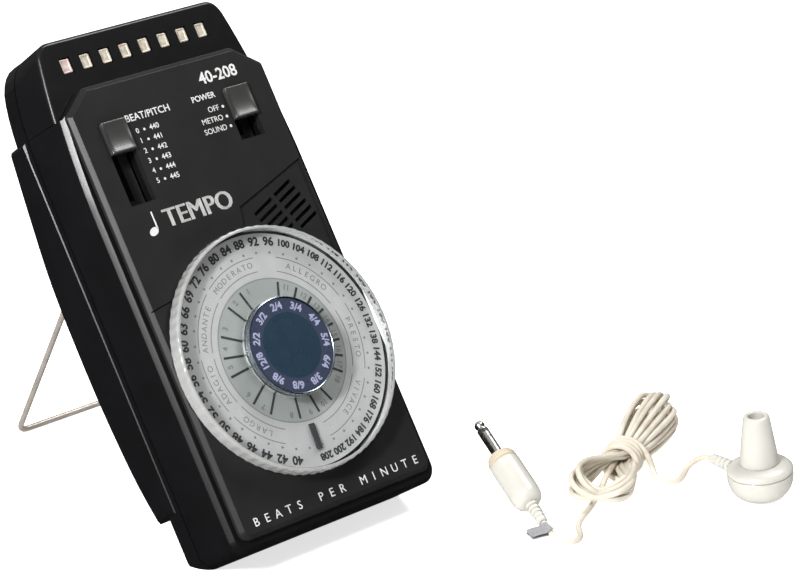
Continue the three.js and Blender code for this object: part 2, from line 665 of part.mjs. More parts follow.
function earParts() {
  const ear = new THREE.Group();
  ear.position.set(EAR.x, EAR.y, EAR.z);
  ear.setRotationFromAxisAngle(new THREE.Vector3(0.676, 0.737, 0).normalize(), -EAR_TILT);
  const outside = [[6.2, 0], [8.3, 1.6], [9.6, 4.2], [9.9, 7], [9.9, 7.6]];
  const inside = [[8.6, 7.6], [8.3, 4.8], [7.2, 2.6], [6.2, 1.4], [6.2, 0]];
  const face = [[3.4, 7.9], [9.9, 7.9], [9.5, 9.4], [8.4, 10.2], [5, 10.6], [3.4, 10.6], [3.4, 7.9]];
  const spout = [[5.9, 10.9], [5.8, 12.4], [4, 25.2], [3.5, 26], [2.4, 26], [1.9, 25.4]];
  ear.add(
    part("ear_housing", cut(turnedUp([...outside, ...inside], 24), earReliefTool(2.2)), WHITE()),
    part("ear_back", turnedUp([[0, 0], [5.9, 0], [5.9, 1.2], [0, 1.2]], 20), WHITE()),
    part("ear_driver", turnedUp([[0, 3.2], [6.4, 3.2], [6.4, 7.2], [0, 7.2]], 20), BRASS()),
    part("ear_face", turnedUp(face, 24), WHITE()),
    part("ear_tip", turnedUp([[1.9, 10.9], ...spout, [1.9, 10.9]], 20), WHITE()),
    part("ear_relief", turnedRelief(), WHITE()),
  );
  return ear;
}

// The strain relief leaves the earphone's side along +y.
function turnedRelief() {
  const relief = turned([[0, 8.2], [1.8, 8.2], [1.6, 18.6], [0, 18.6]], 12);
  return relief.rotateX(RELIEF_RISE).translate(0, 0, EAR.relief);
}

function earReliefTool(r) {
  return turned([[0, 4], [r, 4], [r, 14], [0, 14]], 16).rotateX(RELIEF_RISE).translate(0, 0, EAR.relief);
}

function cordTag() {
  const leaf = box([-6.4, -1.6], [-2.6, 2.6], [0.2, 1]);
  return leaf.rotateZ(-0.3).translate(51.9, -96.6, 0);
}

function earphoneSet() {
  const set = new THREE.Group();
  const folded = part("cord_hank", hank(), WHITE());
  folded.position.set(HANK.x, HANK.y, 0);
  folded.rotation.z = HANK_TURN;
  set.add(
    plugParts(),
    earParts(),
    folded,
    part("cord_plug_lead", lead(PLUG_LEAD, 16), WHITE()),
    part("cord_ear_lead", lead(EAR_LEAD, 12), WHITE()),
    part("cord_tag", cordTag(), finish(0x7b7c80, 0.7)),
  );
  return set;
}

// ---------------------------------------------------------------- assembly

function caseParts() {
  const body = new THREE.Group();
  body.add(
    part("front_shell", frontShell(), BLACK()),
    part("rear_shell", rearShell(), BLACK()),
    part("light_cap", lightCap(), BLACK()),
    part("front_panel", frontPanel(), PANEL_GREY()),
    part("dial_scale", dialScale(), finish(0xa9abae, 0.5)),
    part("dial_wheel", dialWheel(), finish(0xdfe6ea, 0.1, 0, 0.35)),
    part("knob_cap", knobCap(), finish(0x22303c, 0.4)),
    part("dial_hub", dialHub(), DARK()),
    part("index_line", pointerBar(POINTER.width, 0, WHEEL_FACE, WHEEL_FACE + 0.4), finish(0x0c0c0e, 0.5)),
    part("dial_shaft", pin(0, 0, SHAFT_R, -3.3, 11.7, 16), STEEL()),
    part("rotary_switch", rotarySwitch(), DARK()),
    part("pitch_slider", slider(PITCH.x), finish(0x3a3a3c, 0.2)),
    part("power_slider", slider(POWER.x), finish(0x3a3a3c, 0.2)),
    part("pitch_switch", slideSwitch(PITCH.x, PITCH.steps), DARK()),
    part("power_switch", slideSwitch(POWER.x, POWER.steps), DARK()),
    part("speaker_frame", speakerFrame(), STEEL()),
    part("speaker_cone", speakerCone(), finish(0x2a2622, 0.8)),
    part("speaker_magnet", pin(SPEAKER.x, SPEAKER.z, 7.1, 7.9, 13.2, 20), STEEL()),
    part("main_board", mainBoard(), BOARD()),
    part("quartz_crystal", slab(roundedBox(-20, -24, 11, 4.6, 2.2), 9.4, 14.2), STEEL()),
    part("timer_chip", boxAt(-17, -36, 18, 7.5, [10.4, 14.2]), DARK()),
    part("light_board", box([-27, 27], [13, 14.5], [94, 103]), BOARD()),
    part("phone_jack", phoneJack(), DARK()),
    part("jack_ring", cut(jackTool(4.4, 37.5, 38.5), jackTool(3.3, 36, 40)), STEEL()),
    part("battery", battery(), finish(0x2c3a55, 0.4)),
    part("battery_snap", box([-12.5, 12.5], [19.5, 33], [33.3, 36.4]), DARK()),
    part("battery_door", batteryDoor(), BLACK()),
  );
  lightCentres().forEach((x, i) => {
    const lamp = boxAt(x, LIGHT_Z, LIGHT_SIZE.x, LIGHT_SIZE.z, [CAP_Y + 0.5, 12.7]);
    body.add(part(`light_${i + 1}`, lamp, finish(0xd8d2c4, 0.4)));
  });
  LOW_SCREWS.forEach((at, i) => body.add(part(`low_screw_${i + 1}`, caseScrew(at, 8), STEEL())));
  TOP_SCREWS.forEach((at, i) => body.add(part(`top_screw_${i + 1}`, caseScrew(at, 11), STEEL())));
  [["left", -1], ["right", 1]].forEach(([name, side]) => {
    body.add(part(`stand_clip_${name}`, standClip(side), DARK()));
    body.add(part(`clip_screw_${name}`, clipScrew(side), STEEL()));
  });
  return body;
}

function stand() {
  const wire = part("stand_wire", standWire(), STEEL());
  wire.position.set(0, PIVOT_Y, PIVOT_Z);
  wire.rotation.x = STAND_OPEN;
  return wire;
}

// The case and its open stand, set down with the origin below the middle of their box.
function metronome() {
  const tilted = new THREE.Group();
  tilted.add(caseParts(), stand());
  tilted.rotation.x = -LEAN;
  const placed = new THREE.Group();
  placed.add(tilted);
  placed.updateMatrixWorld(true);
  const bounds = new THREE.Box3().setFromObject(placed, true);
  const middle = bounds.getCenter(new THREE.Vector3());
  placed.position.set(-middle.x, -middle.y, -bounds.min.z);
  return placed;
}

const model = new THREE.Group();
model.add(metronome(), earphoneSet());

export default model;
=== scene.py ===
"""Looks of a dial metronome on a wire stand, with its corded earphone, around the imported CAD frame.

Pieces of the case are drawn in millimetres in the case's own frame: x to the right, y from the
front panel's face to the back, z up the case, with the dial's axis at x = z = 0. Pieces of the
earphone set are drawn in millimetres in the row's frame. MM turns both into metres.
"""

import json
import math

import bmesh
import bpy
from mathutils import Matrix, Vector


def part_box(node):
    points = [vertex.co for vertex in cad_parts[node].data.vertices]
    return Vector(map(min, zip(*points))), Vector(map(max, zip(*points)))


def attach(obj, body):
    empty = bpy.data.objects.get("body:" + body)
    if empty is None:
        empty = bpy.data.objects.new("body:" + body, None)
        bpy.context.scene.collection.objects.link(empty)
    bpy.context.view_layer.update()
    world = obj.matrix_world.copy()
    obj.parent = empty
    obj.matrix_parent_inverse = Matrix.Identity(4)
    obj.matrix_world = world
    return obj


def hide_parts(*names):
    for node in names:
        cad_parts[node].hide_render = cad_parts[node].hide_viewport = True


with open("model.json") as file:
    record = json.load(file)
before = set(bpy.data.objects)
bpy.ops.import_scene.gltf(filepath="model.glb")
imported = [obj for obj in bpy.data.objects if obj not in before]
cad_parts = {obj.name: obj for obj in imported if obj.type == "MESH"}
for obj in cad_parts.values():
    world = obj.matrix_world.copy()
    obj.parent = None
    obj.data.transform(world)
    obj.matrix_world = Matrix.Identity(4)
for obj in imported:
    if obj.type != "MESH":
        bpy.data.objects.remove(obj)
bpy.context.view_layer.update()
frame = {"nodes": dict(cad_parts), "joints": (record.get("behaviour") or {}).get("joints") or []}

MM = 0.001
JOINTS = {joint["name"]: joint for joint in frame["joints"]}

# ---------------------------------------------------------------- driving dimensions

DIAL = Vector(JOINTS["dial_turn"]["pos_m"])  # dial centre, on the panel's face
FRONT = Vector(JOINTS["dial_turn"]["axis"]).normalized()  # out of the panel
RIGHT = Vector((1, 0, 0))
UP = RIGHT.cross(-FRONT)
CASE = Matrix((RIGHT, -FRONT, UP)).transposed().to_4x4()
CASE.translation = DIAL
FLOOR = Matrix.Identity(4)

CAMERA_FROM_DIAL = Vector((-0.5654, -0.6679, 0.3802))
CAMERA_LOOK = Vector((0.625, 0.6812, -0.3812))
LENS = 149.2

HALF_W = 38.8
CASE_LOW, CASE_TOP = -50.5, 106.7
CORNER_R = 5
WALL = 2.2
LEDGE_Y = 2.5
SEAM_Y = 20.4
CAP_Y = 6
CAP_LINE = ((36.2, 83.2), (27.4, 90.1))  # where the light cover meets the front shell
PANEL_T = 2.2
WHEEL_R = 37
WHEEL_FACE = -5.8
WHEEL_BACK = -1.2
SCALLOPS = 72
SCALE_Y = -0.5
SCALE_R = 35.3
RIM_R = 35.8
KNOB_R = 14.7
KNOB_FACE = -7.4
KNOB_BACK = -4.2
HUB_R = 7
INNER_R = 21.3
POINTER = {"inner": 22.7, "outer": 30.4, "degrees": 183.3, "width": 2.1}
SLIDE_TOP = 78.5
SLIDE_STEP = 3.1
SLIDER = (8.4, 9.6)
PITCH_X, PITCH_STEPS = -23.4, 5
POWER_X, POWER_STEPS = 22.1, 2
LIGHTS = 8
LIGHT_PITCH = 7.1
LIGHT_SHIFT = -0.9
LIGHT_Z = 98.6
GRILLE_X, GRILLE_Z = 23, 38
GRILLE_SLANT = math.radians(22)
SPEAKER_X, SPEAKER_Z = 20.7, 36.5
JACK_Y, JACK_Z = 10.4, 55
LABEL_Z = SLIDE_TOP - 5  # first line of the labels beside the switches
CORD_D = 1.8
WIRE_R = 0.9  # the stand's wire
PLUG = Vector((55.3, -85.9, 4.2))
PLUG_TURN, PLUG_LIFT = math.radians(75.5), math.radians(22)
EAR = Vector((115.8, -122.3, 0.7))
EAR_TILT = math.radians(6)
EAR_TILT_AXIS = Vector((0.676, 0.737, 0))
RELIEF_RISE = 0.08
TAG = Vector((51.9, -96.6, 0))


# ---------------------------------------------------------------- mesh helpers


def link(name, data, matrix=FLOOR):
    obj = bpy.data.objects.new(name, data)
    bpy.context.scene.collection.objects.link(obj)
    obj.matrix_world = matrix
    return obj


def keep_flat(obj):
    """Keeps the large flat faces flat beside smooth rounds."""
    weighted = obj.modifiers.new("flat_faces", "WEIGHTED_NORMAL")
    weighted.keep_sharp, weighted.weight = True, 80
    return obj


def shade(obj, angle=32):
    """Smooth shading that keeps edges sharper than the angle."""
    mesh = obj.data
    mesh.polygons.foreach_set("use_smooth", [True] * len(mesh.polygons))
    mesh.set_sharp_from_angle(angle=math.radians(angle))
    return keep_flat(obj)


def solid(name, points, faces, matrix=FLOOR, angle=32):
    """A mesh from points in millimetres, its faces turned outwards."""
    build = bmesh.new()
    verts = [build.verts.new(Vector(point) * MM) for point in points]
    for face in faces:
        build.faces.new([verts[i] for i in face])
    bmesh.ops.recalc_face_normals(build, faces=build.faces)
    mesh = bpy.data.meshes.new(name)
    build.to_mesh(mesh)
    build.free()
    return shade(link(name, mesh, matrix), angle)


def rings(name, loops, angle=32, closed=True):
    """A skin over loops of equal length in the case's frame: capped at both ends, or joined into a ring."""
    count, levels = len(loops[0]), len(loops)
    points = [point for loop in loops for point in loop]
    faces = []
    for level in range(levels - 1 if closed else levels):
        base, above = level * count, (level + 1) % levels * count
        for i in range(count):
            j = (i + 1) % count
            faces.append((base + i, base + j, above + j, above + i))
    if closed:
        faces.append(tuple(range(count)))
        faces.append(tuple(range(len(points) - count, len(points))))
    return solid(name, points, faces, CASE, angle)


def grid_faces(row, rows, first=0):
    """Four-sided faces between neighbouring rows of that many points."""
    corners = [first + row * j + i for j in range(rows - 1) for i in range(row - 1)]
    return [(k, k + 1, k + row + 1, k + row) for k in corners]


def prism(name, outline, depths):
    """An outline in (x, z) carried straight between two depths."""
    return rings(name, [[(x, y, z) for x, z in outline] for y in depths])


def fillet(corners, inset, steps):
    """Points round a convex outline of (x, z, radius) corners, counter-clockwise, moved inwards."""
    count = len(corners)
    points = []
    for i, (x, z, radius) in enumerate(corners):
        here = Vector((x, z))
        before = Vector(corners[i - 1][:2]) - here
        after = Vector(corners[(i + 1) % count][:2]) - here
        a, b = before.normalized(), after.normalized()
        half = a.angle(b) / 2
        r = max(radius - inset, 0.05)
        core = here + (a + b).normalized() * ((inset + r) / math.sin(half))
        start, sweep = math.atan2(a.x, -a.y), math.pi - 2 * half
        for k in range(steps + 1):
            angle = start + sweep * k / steps
            points.append((core.x + r * math.cos(angle), core.y + r * math.sin(angle)))
    return points


def slab(name, corners, levels, steps):
    """A filleted outline in (x, z) carried through levels of (inset, y)."""
    return rings(name, [[(x, y, z) for x, z in fillet(corners, inset, steps)] for inset, y in levels])


def rounded_edge(radius, y, steps):
    """Levels of a quarter-round front edge of that radius, starting at the face y."""
    turns = [math.pi / 2 * k / steps for k in range(steps + 1)]
    return [(radius * (1 - math.sin(t)), y + radius * (1 - math.cos(t))) for t in turns]


AXIS_ORDER = {"x": (2, 0, 1), "y": (0, 2, 1), "z": (0, 1, 2)}


def lathe(name, profile, matrix, steps, axis="y"):
    """A profile of (radius, height) turned about an axis; a radius of 0 closes an end."""
    points, starts, faces = [], [], []
    for radius, height in profile:
        starts.append(len(points))
        for i in range(steps if radius else 1):
            a = 2 * math.pi * i / steps
            here = (radius * math.cos(a), radius * math.sin(a), height)
            points.append([here[k] for k in AXIS_ORDER[axis]])
    pairs = list(zip(range(len(profile)), range(1, len(profile))))
    if profile[0][0] > 0:
        pairs.append((len(profile) - 1, 0))
    for p, q in pairs:
        for i in range(steps):
            j = (i + 1) % steps
            low = [starts[p]] if profile[p][0] == 0 else [starts[p] + i, starts[p] + j]
            high = [starts[q]] if profile[q][0] == 0 else [starts[q] + j, starts[q] + i]
            if len(low) + len(high) > 2:
                faces.append(tuple(low + high))
    return solid(name, points, faces, matrix)


def block(name, x, y, z):
    """A plain box between two values on each axis, used as a cutting tool."""
    return prism(name, [(x[0], z[0]), (x[1], z[0]), (x[1], z[1]), (x[0], z[1])], y)


def drill(name, radius, y, matrix=CASE, steps=48):
    """A plain round cutting tool between two depths."""
    return lathe(name, [(0, y[0]), (radius, y[0]), (radius, y[1]), (0, y[1])], matrix, steps)


def carve(obj, tools, operation="DIFFERENCE"):
    """Cuts the tools out of a piece, or keeps only what is inside them, then removes them."""
    obj.modifiers.clear()
    for tool in tools:
        tool.modifiers.clear()
        step = obj.modifiers.new(tool.name, "BOOLEAN")
        step.object, step.operation, step.solver = tool, operation, "EXACT"
    bpy.context.view_layer.update()
    graph = bpy.context.evaluated_depsgraph_get()
    carved = bpy.data.meshes.new_from_object(obj.evaluated_get(graph))
    obj.modifiers.clear()
    obj.data = carved
    for tool in tools:
        bpy.data.objects.remove(tool)
    return shade(obj)


def soften(obj, width):
    """Breaks the sharp edges of a carved piece or a CAD node with a small round."""
    bevel = obj.modifiers.new("broken_edges", "BEVEL")
    bevel.width, bevel.segments = width * MM, 2
    bevel.limit_method, bevel.angle_limit = "ANGLE", math.radians(30)
    return keep_flat(obj)


def fit(obj, body, look, stands_for=()):
    """Gives a finished piece its material and its body, and hides the CAD nodes that it stands for."""
    obj.data.materials.clear()
    obj.data.materials.append(look)
    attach(obj, body)
    if stands_for:
        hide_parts(*stands_for)
    return obj


def dress(node, look, width=0.0):
    """Keeps a CAD node and gives it a finish, with its edges broken if a width is given."""
    obj = frame["nodes"][node]
    obj.data.materials.clear()
    obj.data.materials.append(look)
    obj.data.polygons.foreach_set("use_smooth", [True] * len(obj.data.polygons))
    obj.data.set_sharp_from_angle(angle=math.radians(30))
    if width:
        soften(obj, width)


def round_wire(name, path, radius, spline_type="POLY", sides=5):
    """A curve of round section through points in millimetres."""
    curve = bpy.data.curves.new(name, "CURVE")
    curve.dimensions = "3D"
    curve.bevel_depth, curve.bevel_resolution = radius * MM, sides
    curve.use_fill_caps = True
    spline = curve.splines.new(spline_type)
    spline.points.add(len(path) - 1)
    for point, place in zip(spline.points, path):
        point.co = (*(Vector(place) * MM), 1)
    return curve


# ---------------------------------------------------------------- materials


class Graph:
    """Short ways to add and join shader nodes; an input is a socket to join or a constant."""

    def __init__(self, tree):
        self.tree = tree

    def node(self, kind, inputs, **settings):
        made = self.tree.nodes.new(kind)
        for key, value in settings.items():
            setattr(made, key, value)
        for socket, value in inputs.items():
            self.feed(made.inputs[socket], value)
        return made.outputs

    def feed(self, socket, value):
        if isinstance(value, bpy.types.NodeSocket):
            self.tree.links.new(value, socket)
        else:
            socket.default_value = value

    def math(self, operation, first, second):
        return self.node("ShaderNodeMath", {0: first, 1: second}, operation=operation)["Value"]

    def vector(self, operation, first, second, output="Vector"):
        return self.node("ShaderNodeVectorMath", {0: first, 1: second}, operation=operation)[output]

    def grey(self, factor, low, high, start, end):
        """A value that runs from low to high while the factor runs from start to end."""
        span = {"Value": factor, "From Min": start, "From Max": end, "To Min": low, "To Max": high}
        return self.node("ShaderNodeMapRange", span)["Result"]


class Look(Graph):
    """A Principled material. A noise is (size of its lumps in mm, detail) and maybe a stretch."""

    def __init__(self, name, **values):
        self.material = bpy.data.materials.new(name)
        self.material.use_nodes = True
        super().__init__(self.material.node_tree)
        self.shader = self.tree.nodes["Principled BSDF"]
        self.place = self.node("ShaderNodeTexCoord", {})["Object"]
        self.set(**values)

    def set(self, **values):
        for socket, value in values.items():
            self.feed(self.shader.inputs[socket.replace("_", " ")], value)

    def noise(self, size_mm, detail, stretch=(1, 1, 1)):
        scale = [s / (size_mm * MM) for s in stretch]
        place = self.node("ShaderNodeMapping", {"Vector": self.place, "Scale": scale})["Vector"]
        return self.node("ShaderNodeTexNoise", {"Vector": place, "Scale": 1, "Detail": detail})["Fac"]

    def ramp(self, factor, stops):
        made = self.node("ShaderNodeValToRGB", {"Fac": factor})["Color"]
        elements = made.node.color_ramp.elements
        while len(elements) < len(stops):
            elements.new(0.5)
        for element, (position, value) in zip(elements, stops):
            element.position = position
            element.color = (*value, 1)
        return made

    def cloud(self, noise, stops):
        return self.ramp(self.noise(*noise), stops)

    def mix(self, factor, first, second, blend="MIX"):
        inputs = {"Factor": factor, "A": first, "B": second}
        return self.node("ShaderNodeMix", inputs, data_type="RGBA", blend_type=blend)["Result"]

    def tones(self, noise, stops):
        self.set(Base_Color=self.cloud(noise, stops))

    def roughness(self, noise, low, high, start=0.3, end=0.7):
        self.set(Roughness=self.grey(self.noise(*noise), low, high, start, end))

    def bump(self, noise, depth_mm, strength):
        inputs = {"Height": self.noise(*noise), "Distance": depth_mm * MM, "Strength": strength}
        self.set(Normal=self.node("ShaderNodeBump", inputs)["Normal"])

    def rounds(self, stops):
        """Colours in rings round the dial's axis, from (radius in mm, colour) stops."""
        flat = self.vector("MULTIPLY", self.place, (1 / MM, 0, 1 / MM))
        radius = self.vector("LENGTH", flat, (0, 0, 0), "Value")
        end = stops[-1][0]
        return self.ramp(self.grey(radius, 0, 1, 0, end), [(r / end, rgb) for r, rgb in stops])


def tinted(rgb, amount):
    return tuple(min(1.0, c * amount) for c in rgb)


def moulded(name, rgb, rough, grain=0.35, depth=0.012, coat=0.0, shine=0.45):
    """Injection-moulded plastic: a fine spark-eroded grain, faint cloudiness and handling marks."""
    look = Look(name, Coat_Weight=coat, Coat_Roughness=0.15, Specular_IOR_Level=shine)
    look.tones((14, 5), [(0.3, tinted(rgb, 0.85)), (0.55, rgb), (0.75, tinted(rgb, 1.15))])
    look.roughness((5, 6), *rough, 0.2, 0.8)
    look.bump((grain, 3), depth, 0.8)
    return look.material


def white_moulded(name, rgb):
    """Glossy white plastic that lets a little light into its surface."""
    look = Look(name, Subsurface_Weight=0.12, Subsurface_Scale=0.002, Subsurface_Radius=(1.0, 0.8, 0.6))
    look.set(Coat_Weight=0.25, Coat_Roughness=0.2)
    look.tones((9, 4), [(0.3, tinted(rgb, 0.93)), (0.7, rgb)])
    look.roughness((3, 5), 0.28, 0.42)
    look.bump((0.5, 2), 0.008, 0.6)
    return look.material


def metal(name, rgb, rough, stretch=(1, 1, 1), metallic=1.0):
    """Plated or drawn metal with faint marks along the stretch."""
    look = Look(name, Metallic=metallic)
    look.tones((4, 5), [(0.3, tinted(rgb, 0.78)), (0.7, rgb)])
    look.roughness((1.6, 6, stretch), *rough)
    look.bump((0.5, 3, stretch), 0.006, 0.7)
    return look.material


def print_ink(name, rgb):
    """Screen-printed ink: slightly uneven in cover and shine."""
    look = Look(name, Specular_IOR_Level=0.3)
    look.tones((0.6, 4), [(0.3, tinted(rgb, 0.8)), (0.6, rgb)])
    look.roughness((1.2, 3), 0.45, 0.65)
    return look.material


def scale_print():
    """Silver-grey card with a pale green inner ring, thin printed circles and a faint spun grain."""
    look = Look("scale_print", Metallic=0.15)
    silver, pale, line = (0.43, 0.425, 0.42), (0.3, 0.315, 0.3), (0.2, 0.2, 0.21)
    stops = [(0, pale), (INNER_R, pale), (INNER_R + 0.1, line), (INNER_R + 0.35, line)]
    ground = look.rounds(stops + [(INNER_R + 0.45, silver), (SCALE_R, silver)])
    cloud = look.cloud((7, 5), [(0.3, (0.9, 0.9, 0.91)), (0.7, (1, 1, 1))])
    look.set(Base_Color=look.mix(1, ground, cloud, "MULTIPLY"))
    look.roughness((2, 4), 0.38, 0.52)
    look.bump((0.3, 3), 0.004, 0.6)
    return look.material


def clear_acrylic():
    """Clear plastic that lets lamplight through to the scale behind it."""
    look = Look("clear_acrylic", Transmission_Weight=1.0, IOR=1.45)
    look.tones((12, 3), [(0.3, (0.93, 0.95, 0.95)), (0.7, (0.98, 0.985, 0.985))])
    look.roughness((6, 4), 0.015, 0.045)
    look.bump((18, 2), 0.02, 0.3)
    through = look.node("ShaderNodeBsdfTransparent", {"Color": (0.93, 0.94, 0.94, 1)})["BSDF"]
    ray = look.node("ShaderNodeLightPath", {})
    lit = look.math("MAXIMUM", ray["Is Shadow Ray"], ray["Is Diffuse Ray"])
    mixed = look.node("ShaderNodeMixShader", {"Fac": lit, 1: look.shader.outputs["BSDF"], 2: through})
    look.feed(look.tree.nodes["Material Output"].inputs["Surface"], mixed["Shader"])
    return look.material


def frosted_rim():
    """Pale frosted plastic that scatters light, with faint turning marks."""
    look = Look("frosted_rim", Coat_Weight=0.4, Coat_Roughness=0.1)
    look.tones((5, 4), [(0.3, (0.24, 0.24, 0.235)), (0.7, (0.28, 0.28, 0.275))])
    look.roughness((3, 4), 0.18, 0.3)
    look.bump((0.4, 3), 0.006, 0.6)
    return look.material


def knob_blue():
    """Deep blue face with a paler printed ring towards its rim."""
    look = Look("knob_blue", Coat_Weight=0.15, Coat_Roughness=0.12, Specular_IOR_Level=0.35)
    centre, ring, rim = (0.008, 0.02, 0.034), (0.03, 0.032, 0.06), (0.02, 0.03, 0.05)
    stops = [(0, centre), (9.7, centre), (10, ring), (13.6, ring), (13.9, rim), (KNOB_R, rim)]
    wash = look.cloud((6, 4), [(0.2, (0.014, 0.028, 0.044)), (0.8, (0.019, 0.037, 0.052))])
    look.set(Base_Color=look.mix(0.35, look.rounds(stops), wash))
    look.roughness((4, 5), 0.22, 0.36)
    look.bump((0.4, 2), 0.004, 0.5)
    return look.material


def lamp_window(name, rgb):
    """Ivory diffuser, a little translucent, with the dark of the lamp's leads behind it."""
    look = Look(name, Subsurface_Weight=0.25, Subsurface_Scale=0.003)
    look.set(Coat_Weight=0.3, Coat_Roughness=0.25)
    look.tones((1.6, 4), [(0.3, tinted(rgb, 0.62)), (0.65, rgb)])
    look.roughness((1, 3), 0.3, 0.5)
    look.bump((0.6, 2), 0.02, 0.6)
    return look.material


def cord_sheath():
    """Soft cream-white sheath, duller where it has been handled."""
    look = Look("cord_sheath", Subsurface_Weight=0.15, Subsurface_Scale=0.0015)
    look.tones((8, 5), [(0.3, (0.46, 0.41, 0.33)), (0.65, (0.6, 0.56, 0.48))])
    look.roughness((3, 4), 0.42, 0.6)
    look.bump((0.45, 3), 0.02, 0.7)
    return look.material


def board_green():
    """Lacquered circuit board with the shimmer of its tracks."""
    look = Look("board_green", Coat_Weight=0.4, Coat_Roughness=0.2)
    look.tones((3, 3, (4, 1, 1)), [(0.45, (0.02, 0.1, 0.045)), (0.55, (0.03, 0.17, 0.08))])
    look.roughness((3, 4), 0.3, 0.45)
    look.bump((1.2, 2), 0.03, 0.6)
    return look.material


def marker_tape():
    """Grey folded cloth tape with a crossed weave."""
    look = Look("marker_tape", Sheen_Weight=0.2)
    look.tones((0.5, 3, (1, 3, 1)), [(0.3, (0.14, 0.14, 0.145)), (0.7, (0.34, 0.34, 0.35))])
    look.roughness((2, 3), 0.6, 0.8)
    look.bump((0.4, 2, (3, 1, 1)), 0.05, 0.8)
    return look.material


def studio_floor():
    """A matt white sheet, lit a little from below like a light table."""
    look = Look("studio_floor", Emission_Strength=0.7, Emission_Color=(1, 1, 1, 1))
    look.tones((400, 3), [(0.3, (0.9, 0.9, 0.9)), (0.7, (0.93, 0.93, 0.93))])
    look.roughness((120, 3), 0.75, 0.85)
    return look.material


# ---------------------------------------------------------------- camera, light and floor


def make_camera():
    data = bpy.data.cameras.new("camera")
    data.lens, data.sensor_width = LENS, 36
    data.clip_start, data.clip_end = 0.01, 20
    camera = link("camera", data)
    camera.location = DIAL + CAMERA_FROM_DIAL
    camera.rotation_euler = CAMERA_LOOK.to_track_quat("-Z", "Y").to_euler()
    bpy.context.scene.camera = camera


def soft_light(name, place, size, power):
    """A rectangular lamp turned towards the middle of the case."""
    data = bpy.data.lights.new(name, "AREA")
    data.shape, data.size, data.size_y, data.energy = "RECTANGLE", *size, power
    lamp = link(name, data)
    lamp.location = place
    lamp.rotation_euler = (Vector((0, -0.02, 0.06)) - place).to_track_quat("-Z", "Y").to_euler()


def make_world():
    """Even white surroundings above the floor, darker towards the camera's right, black below."""
    world = bpy.data.worlds.new("studio")
    bpy.context.scene.world = world
    world.use_nodes = True
    graph = Graph(world.node_tree)
    place = graph.node("ShaderNodeTexCoord", {})["Generated"]
    upwards = graph.vector("DOT_PRODUCT", place, (0, 0, 1), "Value")
    aside = graph.vector("DOT_PRODUCT", place, (0.6, -0.55, 0), "Value")
    above, side = graph.grey(upwards, 0.02, 1, 0, 0.12), graph.grey(aside, 1, 0.15, 0, 0.55)
    background = world.node_tree.nodes["Background"].inputs
    background["Color"].default_value = (0.52, 0.52, 0.52, 1)
    graph.feed(background["Strength"], graph.math("MULTIPLY", above, side))


def make_studio():
    make_world()
    soft_light("key", DIAL + Vector((0.5, -0.05, 0.86)) * 1.1, (0.3, 0.3), 8)
    soft_light("strip", DIAL + UP * 0.26 + Vector((-0.8, -0.44, 0.4)) * 0.9, (0.12, 0.22), 14)
    corners = [(4e3 * x, 4e3 * y, 0) for x, y in ((-1, -1), (1, -1), (1, 1), (-1, 1))]
    floor = solid("floor", corners, [(0, 1, 2, 3)])
    floor.modifiers.clear()
    floor.data.materials.append(studio_floor())
    floor.visible_glossy = False
    bpy.context.scene.view_settings.view_transform = "Standard"


# ---------------------------------------------------------------- the cord

# The two uncoiled ends of the cord, in millimetres in the row's frame.
PLUG_LEAD = [
    (53.4, -93.1, 1.4), (52.4, -95.7, 1.1), (51.1, -98.3, 1), (49.9, -100.9, 1), (49.3, -103.7, 1),
    (50.6, -106.2, 1), (53.3, -107.1, 1), (55.9, -106.0, 1), (57.5, -103.7, 1), (59.3, -101.4, 1),
    (61.6, -99.3, 1), (64.3, -97.8, 1.1), (67.1, -96.6, 1.4),
]
EAR_LEAD = [
    (99.5, -94.2, 1.5), (99.7, -96.9, 1.1), (101.5, -99.0, 1), (104.2, -99.6, 1), (106.9, -98.6, 1.2),
    (109.3, -97.3, 1.8), (111.8, -96.7, 2.8), (113.9, -97.4, 3.9), (115.1, -99.0, 5),
    (115.4, -100.8, 5.7), (115.3, -102.6, 5.9),
]
HANK = Vector((102.5, -81.5))
HANK_TURN = math.radians(24.8)
HANK_TURNS = 8
WAIST, WAIST_HIGH = -9, 6.3  # where the hank is bound, along its length and above the floor
WRAP_R, WRAP_STEPS, WRAP_TURNS = 5.4, 14, 3.57


def hank_point(along, across, height):
    """A point of the hank's own frame, in millimetres in the row's frame."""
    x = HANK.x + along * math.cos(HANK_TURN) - across * math.sin(HANK_TURN)
    y = HANK.y + along * math.sin(HANK_TURN) + across * math.cos(HANK_TURN)
    return (x, y, height)


def hank_wraps():
    """Up from the lead on the earphone's side, over the waist, and three and a half times round it."""
    climb = ((-8.5, 3.3), (-7.5, 5.7), (-6.1, 8.1), (-4.1, 10.2))
    points = [hank_point(WAIST + 3.6, *place) for place in climb]
    count = round(WRAP_STEPS * WRAP_TURNS)
    for k in range(count + 1):
        turn = math.radians(105) - 2 * math.pi * k / WRAP_STEPS
        along = WAIST + 3.5 - 7 * k / count
        points.append(hank_point(along, WRAP_R * math.cos(turn), WAIST_HIGH + WRAP_R * math.sin(turn)))
    return points + [hank_point(WAIST - 4.2, -3.4, 0.95), hank_point(WAIST - 6.3, -5.6, 1.2)]


def waist_slot(turn, side):
    """Where a pass of that turn lies in the bound waist, as (across, height)."""
    tilt = math.pi * turn / HANK_TURNS
    radius = side * (3.5 if turn % 2 == 0 else 1.8)
    return (radius * math.cos(tilt), WAIST_HIGH + radius * math.sin(tilt))


